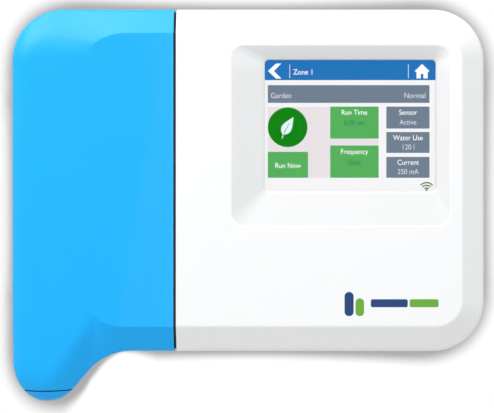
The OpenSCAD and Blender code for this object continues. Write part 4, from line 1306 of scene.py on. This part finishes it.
SCREEN_TONES = {
    "white": (255, 255, 255),
    "ground": (241, 241, 242),
    "blue": (24, 113, 184),
    "slate": (108, 124, 141),
    "panel": (228, 222, 225),
    "green": (82, 172, 88),
    "forest": (0, 128, 0),
    "mint": (220, 242, 238),
    "pale": (214, 220, 226),
    "deep": (8, 124, 84),
    "moss": (96, 120, 74),
}
ink = {name: glowing(f"glow_{name}", linear(*tone)) for name, tone in SCREEN_TONES.items()}
print(len(ink), "glowing colours")

# %% Flat shapes and words on the screen
LCD_D = -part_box("lcd_glass")[0].y / MM
LAYER, SHEET = 0.035, 0.025


def at_screen(u, v):
    """Place of a point given from the window's top left corner, as x and z in millimetres."""
    return window[0] + u, window[3] - v


def flat_shape(name, outline, layer, colour):
    """Thin plate in the given outline, a list of (u, v), built up from a ring of points."""
    depth = LCD_D + 0.01 + layer * LAYER
    ring = [at_screen(u, v) for u, v in outline]
    plate = loft(name, [ring_at(ring, depth), ring_at(ring, depth + SHEET)])
    plate.data.materials.append(ink[colour])
    return plate


def tile(name, u0, v0, u1, v1, layer, colour, corner=0.25):
    return flat_shape(name, rounded_rectangle((u0, v0, u1, v1), corner, steps=4), layer, colour)


def words(text, u, v, height, colour, layer=3, align="CENTER", width=0.9):
    """Words standing on the line v, turned to mesh."""
    x, z = at_screen(u, v)
    depth = LCD_D + 0.01 + layer * LAYER
    bpy.ops.object.select_all(action="DESELECT")
    bpy.ops.object.text_add(location=(x * MM, -depth * MM, z * MM), rotation=(math.pi / 2, 0, 0))
    label = bpy.context.object
    label.data.body, label.data.size, label.data.align_x = text, height / 0.72 * MM, align
    label.data.extrude = SHEET * MM / 2
    label.scale.x = width
    bpy.ops.object.convert(target="MESH")
    label = settle(bpy.context.object, "words")
    label.data.materials.clear()
    label.data.materials.append(ink[colour])
    return label


def on_screen(pieces, name):
    """Joins pieces of one colour, which then ride with the case."""
    piece = joined(pieces, name)
    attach(piece, "case")
    print(f"{name}: {len(piece.data.polygons)} faces")


# %% Bars and tiles
on_screen([tile("ground", -0.8, -0.8, SCREEN_W + 0.8, SCREEN_H + 0.8, 0, "ground")], "screen_ground")
on_screen([tile("bar", -0.7, -0.7, SCREEN_W + 0.7, 7.4, 1, "blue")], "screen_title_bar")
on_screen([tile("panel", 1.2, 17.5, 43.1, 44.3, 1, "panel")], "screen_panel")
on_screen(
    [tile("bar", 1.2, 9.3, 62.3, 16.0, 1, "slate")]
    + [tile("tile", 46.0, v0, 62.3, v1, 1, "slate") for v0, v1 in ((17.4, 25.7), (27.0, 34.9), (36.4, 44.3))],
    "screen_slate_tiles",
)
GREEN_TILES = ((24.8, 17.4, 43.1, 29.5), (24.8, 32.1, 43.1, 44.3), (1.2, 34.5, 16.4, 44.3))
on_screen([tile("tile", *spot, 2, "green") for spot in GREEN_TILES], "screen_green_tiles")

# %% Arrow, house, dividers and radio sign
ARROW = [(1.3, 3.95), (4.3, 1.15), (6.3, 1.15), (3.5, 3.95), (6.3, 6.8), (4.3, 6.8)]
HOUSE_RIGHT = [(62.3, 4.0), (61.6, 4.4), (61.6, 6.75), (60.0, 6.75), (60.0, 5.0)]
HOUSE_LEFT = [(59.0, 5.0), (59.0, 6.75), (57.4, 6.75), (57.4, 4.4), (56.7, 4.0)]
HOUSE = [(59.5, 1.3)] + HOUSE_RIGHT + HOUSE_LEFT


def circle_outline(u, v, radius, start=0, end=360, inner=None, steps=40):
    """Outline of a disc, or of a curved band when inner is given."""
    whole = inner is None
    count = steps if whole else steps + 1
    turns = [math.radians(start + (end - start) * i / steps) for i in range(count)]
    outer = [(u + radius * math.cos(a), v - radius * math.sin(a)) for a in turns]
    if whole:
        return outer
    return outer + [(u + inner * math.cos(a), v - inner * math.sin(a)) for a in reversed(turns)]


on_screen(
    [flat_shape("arrow", ARROW, 2, "white"), flat_shape("house", HOUSE, 2, "white")]
    + [tile("divider", u, 1.4, u + 0.25, 6.7, 2, "pale", 0.1) for u in (9.4, 54.2)],
    "screen_title_signs",
)
bands = [circle_outline(61.2, 49.2, r, 42, 138, r - 0.5, 16) for r in (3.3, 2.3, 1.3)]
waves = [flat_shape("wave", band, 2, "moss") for band in bands]
dot = flat_shape("dot", circle_outline(61.2, 48.9, 0.4, steps=16), 2, "moss")
on_screen(waves + [dot], "screen_radio_sign")

# %% Leaf in its round badge
LEAF_MIDDLE, LEAF_TILT, LEAF_LONG, LEAF_WIDE = (8.9, 24.6), 58, 3.9, 1.75


def leaf_outline(steps=18):
    """Pointed oval, round at the stalk, turned up to the right."""
    points = []
    for side in (1, -1):
        for i in range(steps):
            t = i / steps if side == 1 else 1 - i / steps
            along = LEAF_LONG * (2 * t - 1)
            across = side * LEAF_WIDE * 1.25 * math.sin(math.pi * t**0.72) * (1 - 0.35 * t)
            points.append((along, across))
    (u, v), a = LEAF_MIDDLE, math.radians(LEAF_TILT)
    c, s = math.cos(a), math.sin(a)
    return [(u + p * c - q * s, v - p * s - q * c) for p, q in points]


def stroke(start, end, half_width):
    """Thin tapered line between two points."""
    (u0, v0), (u1, v1) = start, end
    size = math.hypot(u1 - u0, v1 - v0)
    nu, nv = -(v1 - v0) / size * half_width, (u1 - u0) / size * half_width
    return [(u0 + nu, v0 + nv), (u0 - nu, v0 - nv), (u1 - nu / 3, v1 - nv / 3), (u1 + nu / 3, v1 + nv / 3)]


on_screen([flat_shape("disc", circle_outline(8.7, 25.2, 7.5, steps=64), 2, "forest")], "screen_round_badge")
stalk = stroke((6.6, 29.4), (7.3, 27.2), 0.22)
leaf = [flat_shape("leaf", leaf_outline(), 3, "mint"), flat_shape("stalk", stalk, 4, "mint")]
on_screen(leaf, "screen_leaf")
on_screen([flat_shape("vein", stroke((7.2, 27.6), (9.6, 23.2), 0.14), 4, "forest")], "screen_leaf_vein")

# %% Words on the page
WHITE_WORDS = [  # text, u, v, height of a capital, align
    ("Zone 1", 10.8, 5.3, 2.1, "LEFT"),
    ("Run Time", 33.9, 20.5, 2.0, "CENTER"),
    ("Frequency", 33.9, 35.3, 2.0, "CENTER"),
    ("Run Now", 8.8, 40.6, 2.0, "CENTER"),
    ("Sensor", 54.2, 20.5, 2.0, "CENTER"),
    ("Water Use", 54.2, 30.1, 2.0, "CENTER"),
    ("Current", 54.2, 39.4, 2.0, "CENTER"),
]
PALE_WORDS = [
    ("Garden", 2.2, 14.2, 2.1, "LEFT"),
    ("Normal", 60.9, 14.2, 2.1, "RIGHT"),
    ("Active", 54.2, 24.2, 2.0, "CENTER"),
    ("120 l", 54.2, 33.6, 2.0, "CENTER"),
    ("250 mA", 54.2, 42.9, 2.0, "CENTER"),
]
DEEP_WORDS = [("6:30 am", 33.9, 24.4, 2.0, "CENTER"), ("Daily", 33.9, 39.4, 2.0, "CENTER")]
for colour, rows in (("white", WHITE_WORDS), ("pale", PALE_WORDS), ("deep", DEEP_WORDS)):
    labels = [words(text, u, v, height, colour, align=align) for text, u, v, height, align in rows]
    on_screen(labels, f"screen_words_{colour}")

# %% [markdown]
# ## Numbers on the zone plug
# Each way of the zone plug has its number printed beside its screw, so that the valve wires can be told
# apart. The numbers are thin raised print on the plug's face, and they slide off with the plug.

# %% Printed numbers
PITCH, WAYS = 5.08, 8
NUMBER_X, NUMBER_LOWER, NUMBER_SINK = -53.7, 0.85, 0.005
print_tone = linear(236, 238, 234)
print_ink = plastic("print_white", print_tone, roughness=0.5, grain=0.2, uneven=0.08, rubbed=0.0, dust=0.0)
plug_face = (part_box("zone_plug")[0] / MM).y
screws_low, screws_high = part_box("zone_plug_screws")
zone_first = (screws_high.z + screws_low.z) / MM / 2 + PITCH * (WAYS - 1) / 2
numbers = []
for way in range(WAYS):
    bpy.ops.object.select_all(action="DESELECT")
    number_z = zone_first - way * PITCH - NUMBER_LOWER
    place = (NUMBER_X * MM, (plug_face - NUMBER_SINK) * MM, number_z * MM)
    bpy.ops.object.text_add(location=place, rotation=(math.pi / 2, 0, 0))
    digit = bpy.context.object
    digit.data.body, digit.data.size, digit.data.align_x = str(way + 1), 2.3 * MM, "CENTER"
    digit.data.extrude = 0.01 * MM
    bpy.ops.object.convert(target="MESH")
    numbers.append(settle(bpy.context.object, "digit"))
numbers = joined(numbers, "zone_numbers")
hand_over(numbers, "zone_terminal", "terminal_green", finish=print_ink)

# %% [markdown]
# ## Last steps
# The sweep gets its paper finish and the wall its paint. The wall only shows: its paint neither takes
# nor gives light, so that it can't colour the plastic or keep the lamps from the back. What it does
# show is a painted shadow, a soft shade round the outline, set for the view from straight in front.
# The depth of the case hides more of the wall further from the middle of that view, so the painted
# shadow reaches further there, and it is kept narrow beside the leg.

# %% Paper for the sweep
PALE_FIBRE, DARK_FIBRE = (0.8, 0.8, 0.8, 1), (0.77, 0.77, 0.77, 1)

paper, g, shader = blank_material("sweep_paper")
fibres = g.math("MULTIPLY", g.noise(g.coordinates(), 40.0, 4.0), 0.3)
g.tree.links.new(g.mix(fibres, PALE_FIBRE, DARK_FIBRE), shader.inputs["Base Color"])
shader.inputs["Roughness"].default_value = 0.95
shader.inputs["Specular IOR Level"].default_value = 0.0
sweep.data.materials.append(paper)

# %% Painted shadow on the wall
# Painted shadow: the wall glows white and is darkened where the ambient occlusion node finds the case close
# by.
SHADE_MIDDLE = (-0.0005, 0, -0.0099)  # metres, the middle of the view from straight in front
SHADE_REACH, SHADE_SPREAD, SHADE_DEPTH = 0.0024, 0.081, 3.2  # reach at the middle, its growth, strength
WALL_LIGHT, DARKEST = 1.01, 0.42
LEG_SIDE, LEG_FADE = 0.074, 90.0  # where the narrow part starts, left of the middle, and how fast
CASE_SIDE, CASE_FADE = -0.036, 70.0  # where it ends, and how fast
LEG_NARROWING = 0.58

paint, g, _ = blank_material("wall_painted_shadow")
foot = g.add("ShaderNodeVectorMath", {0: g.coordinates(), 1: SHADE_MIDDLE})
foot.operation = "SUBTRACT"
from_middle = g.add("ShaderNodeVectorMath", {0: foot.outputs["Vector"]})
from_middle.operation = "LENGTH"
reach = g.math("ADD", g.math("MULTIPLY", from_middle.outputs["Value"], SHADE_SPREAD), SHADE_REACH)
spot = g.add("ShaderNodeSeparateXYZ", {"Vector": g.coordinates()})
right_of_leg = g.math("MULTIPLY", g.math("ADD", spot.outputs["X"], LEG_SIDE), LEG_FADE, True)
left_of_case = g.math("MULTIPLY", g.math("SUBTRACT", CASE_SIDE, spot.outputs["X"]), CASE_FADE, True)
low_down = g.math("LESS_THAN", spot.outputs["Z"], 0.0)
by_the_leg = g.math("MULTIPLY", g.math("MULTIPLY", right_of_leg, left_of_case), low_down)
narrowing = g.math("MULTIPLY", by_the_leg, LEG_NARROWING)
reach = g.math("MULTIPLY", reach, g.math("SUBTRACT", 1.0, narrowing))
open_sky = g.add("ShaderNodeAmbientOcclusion", {"Distance": reach})
open_sky.samples = 24
shade = g.math("MULTIPLY", g.math("SUBTRACT", 1.0, open_sky.outputs["AO"]), SHADE_DEPTH)
brightness = g.math("MAXIMUM", g.math("SUBTRACT", WALL_LIGHT, shade), DARKEST)
glow = g.add("ShaderNodeEmission", {"Strength": brightness})
front_side = g.math("SUBTRACT", 1.0, g.add("ShaderNodeNewGeometry").outputs["Backfacing"])
seen = g.math("MULTIPLY", front_side, g.add("ShaderNodeLightPath").outputs["Is Camera Ray"])
through = g.add("ShaderNodeBsdfTransparent")
looks = g.add("ShaderNodeMixShader", {0: seen, 1: through.outputs["BSDF"], 2: glow.outputs["Emission"]})
g.tree.links.new(looks.outputs["Shader"], paint.node_tree.nodes["Material Output"].inputs["Surface"])
room_wall.data.materials.append(paint)

# %% Sizes and finish
low, high = cad_bounds
new_low, new_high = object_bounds()
sizes = {"cad": [list(low), list(high)], "visual": [list(new_low), list(new_high)]}
print("CAD box and visual box:", sizes)
